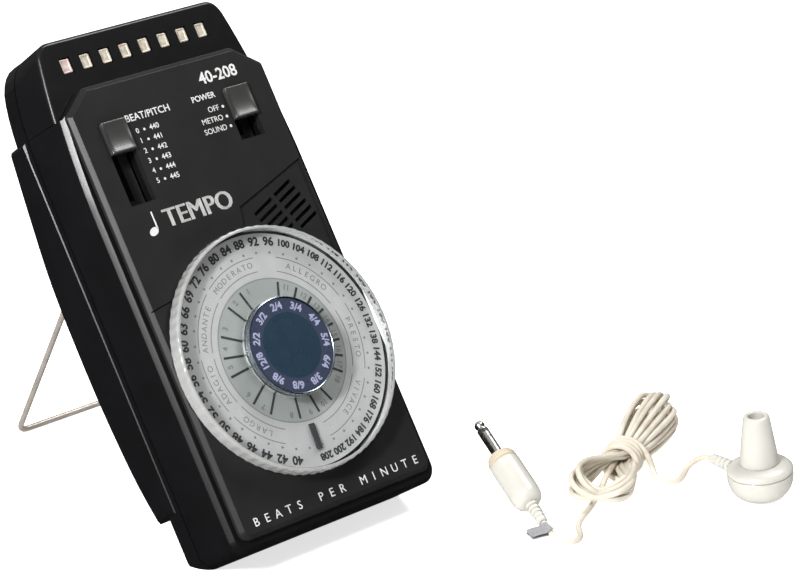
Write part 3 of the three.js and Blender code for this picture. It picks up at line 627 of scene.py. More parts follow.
def fold(lobe, start, end):
    """Out from one waist slot, round a lobe tilted about its length, and back to another slot."""
    sign, radius, tilt, reach, height = lobe
    lean = Vector((math.cos(tilt), 0.85 * math.sin(tilt))) * radius * sign
    middle = Vector((0, height))
    way_out, way_back = [], []
    for share in (0.25, 0.5, 0.75):
        spread = math.sin(share * math.pi / 2)
        for slot, side, way in ((start, lean, way_out), (end, -lean, way_back)):
            aside = Vector(slot).lerp(middle + side, spread)
            way.append(hank_point(WAIST + sign * reach * share, *aside))
    round_end = []
    for k in range(9):
        angle = math.radians(-90 + 22.5 * k)
        along = WAIST + sign * (reach + radius * math.cos(angle))
        round_end.append(hank_point(along, *(middle - lean * math.sin(angle))))
    return way_out + round_end + way_back[::-1]


def hank_folds():
    """Turns that go round the open lobe, through the waist and round the full, round lobe."""
    points = []
    for turn in range(HANK_TURNS):
        loose = turn % 3
        tilt = math.pi * turn / HANK_TURNS
        open_tilt = math.radians(9 * (turn - 3.5))
        open_lobe = (-1, 8.2 + 0.5 * loose, open_tilt, 15.5 + 2 * loose, 5.6 + 0.2 * turn)
        reach = 32.6 - 1.1 * abs(turn - 3)
        full_lobe = (1, 6.4 + 0.8 * loose, tilt, reach, 7.8 + 0.2 * (turn % 2))
        near_slot, far_slot = waist_slot(turn, 1), waist_slot(turn, -1)
        arrival = waist_slot(max(turn - 1, 0), -1)
        points += fold(open_lobe, arrival, near_slot)[0 if turn else 3:]
        points.append(hank_point(WAIST, *near_slot))
        points += fold(full_lobe, near_slot, far_slot)
        points.append(hank_point(WAIST, *far_slot))
    exit_places = ((-15, 2.4, 4.2), (-20, 1.9, 3), (-26, 1.5, 1.9), (-32, 1.2, 1.2))
    return points + [hank_point(*place) for place in exit_places]


def make_cord(look):
    route = list(reversed(EAR_LEAD)) + hank_wraps() + hank_folds() + list(reversed(PLUG_LEAD))
    curve = round_wire("cord", route, CORD_D / 2, "NURBS", 4)
    spline = curve.splines[0]
    spline.order_u, spline.use_endpoint_u, spline.resolution_u = 4, True, 5
    nodes = ("cord_hank", "cord_plug_lead", "cord_ear_lead")
    return fit(link("cord", curve), "earphone", look, nodes)


# ---------------------------------------------------------------- earphone set


def set_part(name, profile, place, axis, steps, look, stands_for=()):
    """A turned piece of the earphone set."""
    return fit(lathe(name, profile, place, steps, axis), "earphone", look, stands_for)


def ribs(sign, first, pitch, radius, taper, groove, lip):
    """Profile of the four ribs of a strain relief, each a little thinner than the one before."""
    profile = []
    for k in range(4):
        start, outer = first + pitch * k, radius - taper * k
        profile += [(outer, sign * start), (groove, sign * (start + 0.15))]
        profile += [(groove, sign * (start + 0.5)), (outer - lip, sign * (start + 0.65))]
    return profile


def plug_frame():
    """The plug's own frame: x from the handle's rear end towards the tip, which is raised."""
    turn = Matrix.Rotation(PLUG_TURN, 4, "Z") @ Matrix.Rotation(-PLUG_LIFT, 4, "Y")
    return Matrix.Translation(PLUG * MM) @ turn


def make_plug(looks):
    place = plug_frame()
    white, nickel = looks["white"], looks["nickel"]
    grip = [(0, 0), (2.4, 0), (3.2, 0.4), (4.1, 1.3), (4.55, 2.6), (4.7, 4.4), (4.7, 16.2)]
    grip += [(4.6, 16.7), (4.6, 16.9), (4.3, 17.1), (0, 17.1)]
    set_part("plug_grip", grip, place, "x", 64, white, ("plug_handle",))
    collar = [(0, 17.15), (4.3, 17.15), (4.6, 17.4), (4.55, 19), (4.1, 20), (2.1, 20)]
    set_part("plug_collar", collar + [(2.1, 19.6), (0, 19.6)], place, "x", 64, looks["beige"])
    sleeve = [(0, 19.7), (1.75, 19.7), (1.75, 29.9), (1.65, 30), (0, 30)]
    set_part("plug_shaft", sleeve, place, "x", 40, nickel, ("plug_sleeve",))
    ring = [(0, 30.02), (1.7, 30.02), (1.75, 30.15), (1.75, 31.15), (1.7, 31.28), (0, 31.28)]
    set_part("plug_ring", ring, place, "x", 40, looks["dark"], ("plug_insulator",))
    tip = [(0, 0), (1.7, 0), (1.74, 0.2), (1.7, 0.5), (1.3, 1), (1.15, 1.3), (1.25, 1.6), (1.52, 2)]
    tip += [(1.58, 2.3), (1.5, 2.8), (1.2, 3.35), (0.7, 3.8), (0.3, 3.97), (0, 4)]
    tip = [(radius, height + 31.3) for radius, height in tip]
    set_part("plug_point", tip, place, "x", 40, nickel, ("plug_tip",))
    stub = [(0, -0.05), (1.95, -0.05)]
    stub += ribs(-1, 1, 1.5, 1.9, 0.07, 1.45, 0.04) + [(1.5, -7.3), (1.2, -7.6), (0, -7.6)]
    set_part("plug_strain_relief", stub, place, "x", 40, white, ("plug_relief",))


def ear_frame():
    """The earphone stands on its back and leans a little."""
    return Matrix.Translation(EAR * MM) @ Matrix.Rotation(-EAR_TILT, 4, EAR_TILT_AXIS)


def make_earphone(looks):
    place, white = ear_frame(), looks["white"]
    bowl = [(5.7, 0.05), (6.3, 0.1), (7.4, 0.7), (8.3, 1.6), (9.1, 2.9), (9.6, 4.3), (9.88, 5.8)]
    bowl += [(9.9, 7), (9.88, 7.35), (9.7, 7.6), (8.7, 7.6), (8.5, 5), (7.2, 2.6), (5.7, 1.4)]
    set_part("ear_shell", bowl, place, "z", 96, white, ("ear_housing",))
    base = [(0, 0), (4.9, 0), (5.5, 0.12), (5.62, 0.3), (5.62, 1.2), (0, 1.2)]
    set_part("ear_base", base, place, "z", 64, looks["grey"], ("ear_back",))
    face = [(3.4, 7.68), (9.3, 7.68), (9.75, 7.85), (9.95, 8.25), (9.95, 8.5), (9.8, 8.95), (9.3, 9.5)]
    face += [(8.4, 10.05), (7, 10.45), (6.2, 10.6), (3.4, 10.65)]
    set_part("ear_flange", face, place, "z", 96, white, ("ear_face",))
    tip = [(2, 10.7), (5.9, 10.7), (5.98, 11), (5.9, 11.8), (5.7, 12.8), (4.1, 24.4), (3.95, 25.2)]
    tip += [(3.7, 25.75), (3.3, 26), (2.8, 26), (2.45, 25.75), (2.3, 25.2), (2, 20)]
    set_part("ear_cone", tip, place, "z", 72, white, ("ear_tip",))
    dress("ear_driver", looks["brass"])
    lean = Matrix.Translation((0, 0, 5 * MM)) @ Matrix.Rotation(RELIEF_RISE, 4, "X")
    stub = [(0, 8.4), (2.2, 8.4), (2.2, 9.6), (2, 10.1)]
    stub += ribs(1, 11.2, 1.7, 1.95, 0.06, 1.5, 0.05) + [(1.55, 19), (1.2, 19.4), (0, 19.4)]
    set_part("ear_strain_relief", stub, place @ lean, "y", 40, white, ("ear_relief",))


def make_tag(look):
    """A strip of tape folded round the lead, its two leaves pressed together and slightly curled."""
    across, widths, points = 10, (-2.6, -1.3, 0, 1.3, 2.6), []
    spin = Matrix.Rotation(-0.3, 3, "Z")
    for layer in (0.35, 1.25):
        for i in range(across + 1):
            u = -6.4 + 7.6 * i / across
            near_cord = max(0, 1 - (u / 1.6) ** 2) if layer > 1 else 0
            lift = layer + 0.3 * math.sin(3.1 * i / across) + 1.1 * near_cord
            row = [Vector((u, v, lift + 0.1 * math.cos(2 * v))) for v in widths]
            points += [spin @ place + TAG for place in row]
    leaf = len(points) // 2
    faces = grid_faces(5, across + 1) + grid_faces(5, across + 1, leaf)
    tag = solid("marker_tag", points, faces)
    tag.modifiers.clear()
    tag.modifiers.new("thickness", "SOLIDIFY").thickness = 0.25 * MM
    smooth = tag.modifiers.new("smooth", "SUBSURF")
    smooth.levels = smooth.render_levels = 2
    return fit(tag, "earphone", look, ("cord_tag",))


# ---------------------------------------------------------------- case

# Upper half of the case's side as (half width, height) of its start, control points and end: the
# front draws in from low down to a small corner, the rear stays wide up to a large one.
SIDE_FRONT = ((HALF_W, 55), (38.2, 80), (33.7, 103), (32.9, CASE_TOP), (29.6, CASE_TOP))
SIDE_REAR = ((HALF_W, 78), (38.1, 92), (35.6, 99.5), (32.6, CASE_TOP), (27, CASE_TOP))
PANEL_RIGHT = [(36.2, -47.2, 3), *((x, z, 1.5) for x, z in CAP_LINE)]
PANEL_CORNERS = [(-36.2, -47.2, 3), *PANEL_RIGHT, *((-x, z, r) for x, z, r in PANEL_RIGHT[:0:-1])]


def switch_slot(name, x, steps, y):
    """A tool that cuts one switch's slot between two depths."""
    length = SLIDER[1] + steps * SLIDE_STEP + 0.4
    return block(name, (x - 4.5, x + 4.5), y, (SLIDE_TOP - length, SLIDE_TOP))


def quadratic(start, control, end, steps=10):
    """Points along a curve after its start."""
    turns = [k / steps for k in range(1, steps + 1)]
    return [start * (1 - t) ** 2 + control * 2 * t * (1 - t) + end * t * t for t in turns]


def moved_in(outline, inset):
    """A counter-clockwise outline, each point moved inwards square to its neighbours."""
    moved = []
    for i, point in enumerate(outline):
        a = (point - outline[i - 1]).normalized()
        b = (outline[(i + 1) % len(outline)] - point).normalized()
        inward = Vector((-a.y - b.y, a.x + b.x)).normalized()
        moved.append(point + inward * (inset / math.sqrt((1 + a.dot(b)) / 2)))
    return moved


def case_outline(y, inset):
    """The case's outline at a depth, its walls sloping from the front's shape to the seam's."""
    share = min(1, max(0, (y - LEDGE_Y) / (SEAM_Y - LEDGE_Y)))
    side = [Vector(a).lerp(Vector(b), share) for a, b in zip(SIDE_FRONT, SIDE_REAR)]
    half = []
    for k in range(9):
        t = math.pi / 2 * k / 8
        across, up = 1 - math.sin(t), 1 - math.cos(t)
        half.append(Vector((HALF_W - CORNER_R * across, CASE_LOW + CORNER_R * up)))
    half.append(side[0])
    half += quadratic(*side[:3]) + quadratic(*side[2:])
    return moved_in(half + [Vector((-p.x, p.y)) for p in reversed(half)], inset)


def case_loft(name, levels):
    """A skin over the case's outlines at levels of (inset, y)."""
    return rings(name, [[(p.x, y, p.y) for p in case_outline(y, inset)] for inset, y in levels])


def above_cap_line(name, lift):
    """Everything above the line between the front shell and the light cover."""
    (out_x, out_z), (in_x, in_z) = CAP_LINE
    right = [(in_x, in_z + lift), (out_x, out_z + lift), (60, out_z + lift), (60, 140)]
    return prism(name, right + [(-x, z) for x, z in reversed(right)], (-10, 60))


def grille_tools(y):
    """Slots of the speaker grille: two short bars to a row, on a slant."""
    cosine, sine = math.cos(GRILLE_SLANT), math.sin(GRILLE_SLANT)
    tools = []
    for i in range(6):
        across = (i - 2.5) * 2.45
        low, high = across - 0.57, across + 0.57
        for start, end in ((-9.5, -0.9), (0.5, 8.6)):
            bar = [(start, low), (end, low), (end, high), (start, high)]
            placed = [(GRILLE_X + u * cosine - v * sine, GRILLE_Z + u * sine + v * cosine) for u, v in bar]
            tools.append(prism(f"grille_{i}", placed, y))
    return tools


def make_front_shell(look):
    bevel = [(1.6, 0), (1.42, 0.04), (1.25, 0.14), (0.2, 1.32), (0.06, 1.52), (0, 1.8)]
    levels = [(inset, LEDGE_Y + back) for inset, back in bevel] + [(0, SEAM_Y - 0.4), (0.35, SEAM_Y)]
    shell = case_loft("case_front", levels)
    hollow = case_loft("hollow", [(WALL, LEDGE_Y + WALL), (WALL, SEAM_Y + 4)])
    carve(hollow, [above_cap_line("trim", -WALL)])
    speaker = CASE @ Matrix.Translation(Vector((SPEAKER_X, 0, SPEAKER_Z)) * MM)
    jack = CASE @ Matrix.Translation(Vector((0, JACK_Y, JACK_Z)) * MM)
    jack_bore = [(0, 30), (3.4, 30), (3.4, 37.2), (4.8, 37.2), (4.8, 45), (0, 45)]
    tools = [
        hollow,
        above_cap_line("top", 0),
        switch_slot("pitch", PITCH_X, PITCH_STEPS, (0, 8)),
        switch_slot("power", POWER_X, POWER_STEPS, (0, 8)),
        drill("sound", 11.6, (0, 8), speaker),
        drill("hub", 8.5, (0, 8)),
        lathe("jack", jack_bore, jack, 48, "x"),
    ]
    carve(shell, tools)
    soften(shell, 0.3)
    return fit(shell, "case", look, ("front_shell",))


def step_line():
    """A fine groove from the panel's left edge to the dial."""
    return prism("step", [(-37, 22.1), (-26, 23.9), (-26, 24.3), (-37, 22.5)], (-1, 0.5))


def make_panel(look):
    edge = [(1.5, 0), (1.3, 0.06), (0.25, 1.05), (0.08, 1.25), (0, 1.5), (0, PANEL_T)]
    panel = slab("panel", PANEL_CORNERS, edge, 6)
    tools = [
        drill("scale", 36, (-1, 0.6), steps=144),
        drill("hub", 7.6, (-1, 8)),
        switch_slot("pitch", PITCH_X, PITCH_STEPS, (-1, 8)),
        switch_slot("power", POWER_X, POWER_STEPS, (-1, 8)),
        prism("recess", [(7.4, 43.7), (5, 33), (34, 10), (34.4, 52.4)], (-1, 0.7)),
        step_line(),
        *grille_tools((-1, 8)),
    ]
    carve(panel, tools)
    soften(panel, 0.22)
    return fit(panel, "case", look, ("front_panel",))


def lamp_place(i):
    """Where a lamp lies across the case."""
    return (i - (LIGHTS - 1) / 2) * LIGHT_PITCH + LIGHT_SHIFT


def make_light_cap(look):
    levels = rounded_edge(1.2, CAP_Y, 5) + [(0, 12), (0, SEAM_Y - 0.4), (0.35, SEAM_Y)]
    cap = case_loft("light_cover", levels)
    carve(cap, [above_cap_line("upper", 0.15)], "INTERSECT")
    hollow = case_loft("hollow", [(WALL, CAP_Y + WALL), (WALL, SEAM_Y + 4)])
    carve(hollow, [above_cap_line("inner", WALL)], "INTERSECT")
    tools = [hollow]
    for i in range(LIGHTS):
        x = lamp_place(i)
        tall = (LIGHT_Z - 2.4, LIGHT_Z + 2.4)
        tools.append(block(f"window_{i}", (x - 1.95, x + 1.95), (0, 12), tall))
    carve(cap, tools)
    soften(cap, 0.35)
    return fit(cap, "case", look, ("light_cap",))


def make_lamps(looks):
    """Ivory windows with a raised rim round a shallow dish, like the lens of a small lamp."""
    for i in range(LIGHTS):
        x = lamp_place(i)
        sides = ((-1, -1), (1, -1), (1, 1), (-1, 1))
        corners = [(x + 1.75 * across, LIGHT_Z + 2.2 * up, 0.5) for across, up in sides]
        levels = [(0.75, CAP_Y + 0.55), (0.6, CAP_Y + 0.38), (0.35, CAP_Y + 0.3), (0.12, CAP_Y + 0.4)]
        lamp = slab(f"lamp_{i + 1}", corners, levels + [(0, CAP_Y + 0.7), (0, 12.7)], 4)
        look = looks["lamp_rose"] if i == 0 else looks["lamp"]
        fit(lamp, "case", look, (f"light_{i + 1}",))


def slider_depth(u, v):
    """Depth of a switch cap's face below its rim, for u and v from -1 to 1 across and along it."""
    dish = 0.95 * (1 - v * v) * (1 - u ** 10)
    round_edge = 0.35 * max(u ** 24, v ** 24)
    return dish + round_edge


def make_slider(name, node, x, look):
    """A switch cap, hollowed along its length like a finger rest."""
    z = SLIDE_TOP - 0.2 - SLIDER[1] / 2
    across, along = 28, 56
    points = []
    for j in range(along + 1):
        v = math.sin(math.pi * (j / along - 0.5))
        for i in range(across + 1):
            u = math.sin(math.pi * (i / across - 0.5))
            points.append((x + u * SLIDER[0] / 2, -1.7 + slider_depth(u, v), z + v * SLIDER[1] / 2))
    row = across + 1
    faces = grid_faces(row, along + 1)
    edge = list(range(across)) + [j * row + across for j in range(along)]
    edge += [along * row + i for i in range(across, 0, -1)] + [j * row for j in range(along, 0, -1)]
    count = len(points)
    points += [(points[k][0], 1.8, points[k][2]) for k in edge]
    for k in range(len(edge)):
        after = (k + 1) % len(edge)
        faces.append((edge[k], edge[after], count + after, count + k))
    faces.append(tuple(range(count, count + len(edge))))
    return fit(solid(name, points, faces, CASE, 50), node, look, (node,))


# Nodes that keep the CAD's own shape, by their finish.
PLAIN_NODES = {
    "steel": (
        "low_screw_1", "low_screw_2", "top_screw_1", "top_screw_2",
        "speaker_frame", "speaker_magnet", "quartz_crystal",
    ),
    "nickel": ("clip_screw_left", "clip_screw_right", "jack_ring", "dial_shaft"),
    "board": ("main_board", "light_board"),
    "dark": (
        "rotary_switch", "pitch_switch", "power_switch", "timer_chip", "phone_jack", "battery_snap",
        "dial_hub",
    ),
    "cone": ("speaker_cone",),
}


def make_case(looks):
    make_front_shell(looks["black"])
    make_panel(looks["panel"])
    make_light_cap(looks["black"])
    make_lamps(looks)
    make_slider("pitch_cap", "pitch_slider", PITCH_X, looks["gloss"])
    make_slider("power_cap", "power_slider", POWER_X, looks["gloss"])
    dress("rear_shell", looks["black"], 0.35)
    dress("battery_door", looks["black"], 0.25)
    for name in ("stand_clip_left", "stand_clip_right"):
        dress(name, looks["dark"], 0.2)
    for finish, names in PLAIN_NODES.items():
        for name in names:
            dress(name, looks[finish])
    dress("battery", looks["battery"], 0.3)


# ---------------------------------------------------------------- dial


def make_wheel(look):
    """The clear disc: a flat plate with a well for the knob and a hole for the hub."""
    edge, well, bore, floor = RIM_R - 0.05, KNOB_R + 0.3, HUB_R + 0.4, -3.9
    profile = [(edge, WHEEL_BACK), (edge, WHEEL_FACE + 0.1), (well + 0.2, WHEEL_FACE)]
    profile += [(well, WHEEL_FACE + 0.2), (well, floor), (bore, floor), (bore, WHEEL_BACK)]
    return fit(lathe("wheel", profile, CASE, 192), "dial", look, ("dial_wheel",))


def make_wheel_rim(look):
    """The frosted rim of the wheel, finely scalloped, with a rounded front edge."""
    around = SCALLOPS * 8

    def loop(radius, y, depth):
        turns = [2 * math.pi * i / around for i in range(around)]
        radii = [radius - depth + depth * math.cos(SCALLOPS * a) for a in turns]
        return [(r * math.cos(a), y, r * math.sin(a)) for r, a in zip(radii, turns)]

    front = [(RIM_R, 0.1, 0), (36.2, 0, 0), (36.6, 0.12, 0.03), (36.85, 0.45, 0.08), (WHEEL_R, 1, 0.12)]
    back = [(WHEEL_R, -0.35, 0.12), (36.7, 0, 0), (RIM_R, 0, 0)]
    loops = [loop(radius, WHEEL_FACE + y, depth) for radius, y, depth in front]
    loops += [loop(radius, WHEEL_BACK + y, depth) for radius, y, depth in back]
    return fit(rings("wheel_rim", loops, 40, closed=False), "dial", look)


def make_pointer(look):
    """The black index line moulded into the back of the clear disc."""
    bar = prism("pointer", tick(**POINTER), (WHEEL_BACK - 0.3, WHEEL_BACK + 0.25))
    return fit(soften(bar, 0.15), "dial", look, ("index_line",))


def make_knob(look, rim_look):
    """A flat blue face inside a thin raised rim, on a deeper body."""
    r, front, back = KNOB_R, KNOB_FACE, KNOB_BACK
    profile = [(0, back), (r - 0.7, back), (r - 0.7, front + 0.05), (10.35, front)]
    profile += [(10.2, front + 0.08), (10, front + 0.08), (9.85, front), (0, front - 0.05)]
    fit(lathe("knob_face", profile, CASE, 128), "dial", look, ("knob_cap",))
    ring = [(r - 0.66, back), (r - 0.1, back), (r, back - 0.1), (r, front + 0.2), (r - 0.12, front - 0.08)]
    ring += [(r - 0.34, front - 0.2), (r - 0.56, front - 0.1), (r - 0.66, front + 0.05)]
    fit(lathe("knob_rim", ring, CASE, 160), "dial", rim_look)


def make_scale(look):
    """The fixed card behind the wheel, which carries the printed scale."""
    inner, back = HUB_R + 0.6, 0.3
    profile = [(inner, back), (inner, SCALE_Y), (SCALE_R - 0.1, SCALE_Y)]
    profile += [(SCALE_R, SCALE_Y + 0.1), (SCALE_R, back)]
    return fit(lathe("printed_scale", profile, CASE, 144), "case", look, ("dial_scale",))


# ---------------------------------------------------------------- printing


TEMPOS = [*range(40, 60, 2), *range(60, 72, 3), *range(72, 120, 4), *range(120, 144, 6)]
TEMPOS += range(144, 209, 8)
FIRST_TEMPO, TEMPO_STEP = 198, 9  # clock angle of the first tempo and the step between two
TERMS = [  # tempo term, clock angle of its middle, start and end of its band
    ("LARGO", 225, 205, 242), ("ADAGIO", 262, 246, 280), ("ANDANTE", 300, 284, 322),
    ("MODERATO", 345, 326, 366), ("ALLEGRO", 45, 22, 70), ("PRESTO", 97, 76, 118),
    ("VIVACE", 140, 124, 172),
]
BEATS = ("2/4", "3/4", "4/4", "5/4", "6/4", "3/8", "6/8", "9/8", "12/8", "2/2", "3/2")
INNER_TICKS = [-18, -36, -63, -81, -97, -125, -142, -170, -190, -207, 22, 40, 55, 69, 83, 97, 111, 125]


def mark(text, size, x, z, turn=0, bold=0.0, align="CENTER"):
    """One piece of lettering as a thin mesh facing -y, turned clockwise by some degrees."""
    curve = bpy.data.curves.new("glyph", "FONT")
    curve.body, curve.size, curve.extrude, curve.offset = text, size * MM, 0.02 * MM, bold * MM
    curve.align_x, curve.align_y, curve.resolution_u = align, "CENTER", 3
    holder = bpy.data.objects.new("glyph", curve)
    mesh = bpy.data.meshes.new_from_object(holder)
    bpy.data.objects.remove(holder)
    bpy.data.curves.remove(curve)
    stand = Matrix(((1, 0, 0, x * MM), (0, 0, -1, 0), (0, 1, 0, z * MM), (0, 0, 0, 1)))
    mesh.transform(stand @ Matrix.Rotation(-math.radians(turn), 4, "Z"))
    return mesh


def printed(name, build, y, look, body, slot):
    """One piece of everything printed in the build, at a depth in the case's frame."""
    bmesh.ops.translate(build, vec=(0, y * MM, 0), verts=build.verts)
    mesh = bpy.data.meshes.new(name)
    build.to_mesh(mesh)
    build.free()
    return fit(link(name, mesh, CASE), body, look)


def print_marks(name, marks, *place):
    """Joins pieces of lettering."""
    build = bmesh.new()
    for mesh in marks:
        build.from_mesh(mesh)
        bpy.data.meshes.remove(mesh)
    return printed(name, build, *place)


def print_shapes(name, outlines, *place):
    """Joins flat printed shapes, each a list of (x, z) points, as thin plates."""
    build = bmesh.new()
    for outline in outlines:
        face = build.faces.new([build.verts.new(Vector((x, 0, z)) * MM) for x, z in outline])
        moved = bmesh.ops.extrude_face_region(build, geom=[face])["geom"]
        front = [item for item in moved if isinstance(item, bmesh.types.BMVert)]
        bmesh.ops.translate(build, vec=(0, -0.03 * MM, 0), verts=front)
    bmesh.ops.recalc_face_normals(build, faces=build.faces)
    return printed(name, build, *place)


def clock(radius, degrees):
    """A point at that radius, clockwise from the top of the dial."""
    a = math.radians(degrees)
    return (radius * math.sin(a), radius * math.cos(a))


def dot(x, z, r, sides=12):
    turns = [2 * math.pi * i / sides for i in range(sides)]
    return [(x + r * math.cos(t), z + r * math.sin(t)) for t in turns]


def tick(inner, outer, degrees, width):
    a = math.radians(degrees)
    side = Vector((math.cos(a), -math.sin(a))) * width / 2
    start, end = Vector(clock(inner, degrees)), Vector(clock(outer, degrees))
    return [tuple(p) for p in (start - side, end - side, end + side, start + side)]


def ring_band(radius, width, start, end):
    """A thin printed arc, cut into short four-sided pieces, between two clock angles."""
    count = max(2, round((end - start) / 3))
    stops = [start + (end - start) * k / count for k in range(count + 1)]
    return [
        [clock(radius, a), clock(radius, b), clock(radius + width, b), clock(radius + width, a)]
        for a, b in zip(stops, stops[1:])
    ]


def curved_word(word, size, radius, middle, step):
    """Letters set one by one round the dial, centred on a clock angle."""
    angles = [middle + (i - (len(word) - 1) / 2) * step for i in range(len(word))]
    return [mark(letter, size, *clock(radius, angle), angle) for letter, angle in zip(word, angles)]


def print_dial(looks):
    words, lines = SCALE_Y - 0.03, SCALE_Y - 0.01
    on_scale = ("case", "scale_silver")
    numbers = []
    for i, tempo in enumerate(TEMPOS):
        angle = FIRST_TEMPO + TEMPO_STEP * i
        size = 3.6 if tempo < 100 else 2.9
        numbers.append(mark(str(tempo), size, *clock(32.7, angle), angle, 0.13))
    print_marks("tempo_numbers", numbers, words, looks["ink_black"], *on_scale)
    terms = [curved_word(word, 2.5, 26, middle, 4.7) for word, middle, start, end in TERMS]
    print_marks("tempo_words", sum(terms, []), words, looks["ink_grey"], *on_scale)
    inner = []
    for i, angle in enumerate(INNER_TICKS):
        inner.append(mark(str(i + 1), 2.4, *clock(19.3, angle + 8), angle + 8, 0.06))
    print_marks("inner_numbers", inner, words, looks["ink_grey"], *on_scale)
    shapes = [dot(*clock(29.4, FIRST_TEMPO + TEMPO_STEP * i), 0.38) for i in range(40)]
    for word, middle, start, end in TERMS:
        shapes += ring_band(23.7, 0.25, start, end) + ring_band(28, 0.25, start, end)
    print_shapes("scale_lines", shapes, lines, looks["ink_grey"], *on_scale)
    ticks = [tick(13.6, 20.6, angle, 0.75) for angle in INNER_TICKS]
    print_shapes("inner_ticks", ticks, lines, looks["ink_black"], *on_scale)
    beats = []
    for i, label in enumerate(BEATS):
        angle = 360 / len(BEATS) * i
        beats.append(mark(label, 3.1, *clock(11.8, angle), angle, 0.1))
    print_marks("knob_labels", beats, KNOB_FACE - 0.02, looks["ink_lavender"], "dial", "knob_blue")


def music_note(x, z):
    """A plain crotchet: a slanted round head and a stem."""
    turns = [2 * math.pi * k / 20 for k in range(20)]
    slant = Matrix.Rotation(0.4, 2)
    head = [slant @ Vector((1.7 * math.cos(t), 1.15 * math.sin(t))) for t in turns]
    stem = [(x + 1.25, z - 1.6), (x + 1.75, z - 1.6), (x + 1.75, z + 3.6), (x + 1.25, z + 3.6)]
    return [[(x + p.x, z - 2.1 + p.y) for p in head], stem]


def print_panel(look):
    rows = [LABEL_Z - SLIDE_STEP * i for i in range(PITCH_STEPS + 1)]
    marks = [mark("BEAT/PITCH", 3, -18.4, 77.6, 0, 0.03, "LEFT")]
    for i, z in enumerate(rows):
        marks.append(mark(str(i), 2.2, -15.9, z, 0, 0.02))
        marks.append(mark(str(440 + i), 2.3, -9.8, z, 0, 0.02))
    marks.append(mark("POWER", 2.5, 10.4, 77.6, 0, 0.04))
    for label, z in zip(("OFF", "METRO", "SOUND"), rows):
        marks.append(mark(label, 2.4, 14.4, z, align="RIGHT"))
    for shift in (-0.2, 0, 0.2):  # printed three times to make it bold
        marks.append(mark("TEMPO", 7.8, -6.5 + shift, 46.6))
    marks.append(mark("40-208", 5, 18.6, 83, 0, 0.1))
    foot_line = "BEATS PER MINUTE"
    for i, letter in enumerate(foot_line):
        marks.append(mark(letter, 3.6, -30 + 60.6 * i / (len(foot_line) - 1), -43.2))
    print_marks("panel_words", marks, -0.02, look, "case", "panel_grey")
    dots = [dot(-13.4, z, 0.4) for z in rows] + [dot(15.8, z, 0.45) for z in rows[:POWER_STEPS + 1]]
    print_shapes("panel_dots", dots + music_note(-24, 46.4), 0, look, "case", "panel_grey")


# ---------------------------------------------------------------- wire stand


def bend(corner, before, after, radius, steps=8):
    """Points of a rounded corner in a wire."""
    a = (before - corner).normalized() * radius
    b = (after - corner).normalized() * radius
    shares = [k / steps for k in range(steps + 1)]
    return [corner + a * (1 - t) ** 2 + b * t ** 2 for t in shares]


def make_stand(look):
    """One bent wire: pivot pins turned inwards, two legs and a cross bar with rounded corners."""
    pivot = Vector(JOINTS["stand_fold"]["pos_m"]) / MM
    low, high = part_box("stand_wire")
    leg = Vector((0, high.y / MM - WIRE_R - pivot.y, low.z / MM + WIRE_R - pivot.z))
    pins, pivots = [], []
    for side in (-1, 1):
        pins.append(Vector((15 * side, pivot.y, pivot.z)))
        pivots.append(Vector((21.1 * side, pivot.y, pivot.z)))
    feet = [corner + leg for corner in pivots]
    path = [pins[0], *bend(pivots[0], pins[0], feet[0], 1.8), *bend(feet[0], pivots[0], feet[1], 4)]
    path += [*bend(feet[1], feet[0], pivots[1], 4), *bend(pivots[1], feet[1], pins[1], 1.8), pins[1]]
    wire = link("stand_bent_wire", round_wire("stand", path, WIRE_R))
    return fit(wire, "stand", look, ("stand_wire",))


# ---------------------------------------------------------------- assembly


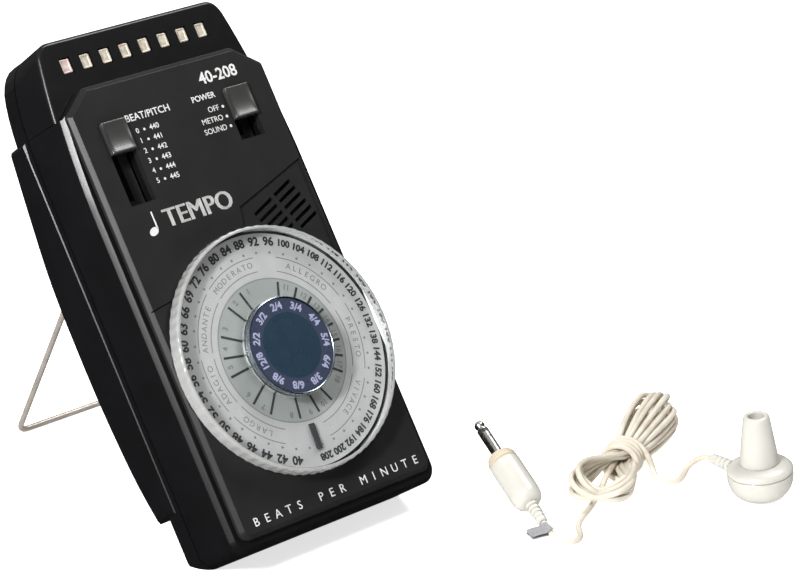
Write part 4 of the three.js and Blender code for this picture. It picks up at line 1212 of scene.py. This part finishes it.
def make_looks():
    return {
        "black": moulded("case_black", (0.004, 0.004, 0.0045), (0.28, 0.33), 0.4, 0.008, shine=0.26),
        "panel": moulded("panel_grey", (0.012, 0.012, 0.0125), (0.34, 0.39), 0.3, 0.008, shine=0.17),
        "gloss": moulded("slider_gloss", (0.028, 0.028, 0.027), (0.34, 0.42), 1.5, 0.006, 0.1),
        "dark": moulded("inner_plastic", (0.02, 0.02, 0.021), (0.35, 0.5)),
        "white": white_moulded("white_plastic", (0.49, 0.48, 0.435)),
        "beige": white_moulded("beige_plastic", (0.5, 0.43, 0.33)),
        "grey": moulded("ear_grey", (0.16, 0.16, 0.16), (0.3, 0.4)),
        "nickel": metal("nickel_plate", (0.72, 0.69, 0.63), (0.14, 0.28)),
        "wire": metal("stand_wire", (0.5, 0.45, 0.4), (0.35, 0.5), (1, 1, 4), metallic=0.55),
        "steel": metal("plain_steel", (0.5, 0.49, 0.47), (0.28, 0.45), (1, 1, 6)),
        "brass": metal("plain_brass", (0.6, 0.46, 0.2), (0.25, 0.4)),
        "board": board_green(),
        "cone": moulded("paper_cone", (0.03, 0.027, 0.024), (0.7, 0.85), 0.6, 0.06),
        "battery": moulded("battery_wrap", (0.03, 0.05, 0.14), (0.25, 0.35), 1.2, 0.01),
        "lamp": lamp_window("lamp_ivory", (0.46, 0.41, 0.33)),
        "lamp_rose": lamp_window("lamp_rose", (0.48, 0.38, 0.35)),
        "scale": scale_print(),
        "clear": clear_acrylic(),
        "rim": frosted_rim(),
        "knob": knob_blue(),
        "knob_rim": metal("knob_rim", (0.3, 0.33, 0.37), (0.16, 0.3)),
        "cord": cord_sheath(),
        "tape": marker_tape(),
        "ink_black": print_ink("ink_black", (0.02, 0.02, 0.022)),
        "ink_grey": print_ink("ink_grey", (0.17, 0.175, 0.17)),
        "ink_white": print_ink("ink_white", (0.52, 0.52, 0.51)),
        "ink_lavender": print_ink("ink_lavender", (0.24, 0.25, 0.36)),
    }


make_camera()
make_studio()
LOOKS = make_looks()
cord = make_cord(LOOKS["cord"])
make_plug(LOOKS)
make_earphone(LOOKS)
make_tag(LOOKS["tape"])
make_case(LOOKS)
make_scale(LOOKS["scale"])
print_dial(LOOKS)
print_panel(LOOKS["ink_white"])
make_wheel(LOOKS["clear"])
make_wheel_rim(LOOKS["rim"])
make_pointer(LOOKS["ink_black"])
make_knob(LOOKS["knob"], LOOKS["knob_rim"])
make_stand(LOOKS["wire"])

tuple(Vector(EAR_LEAD[-1]) * MM)
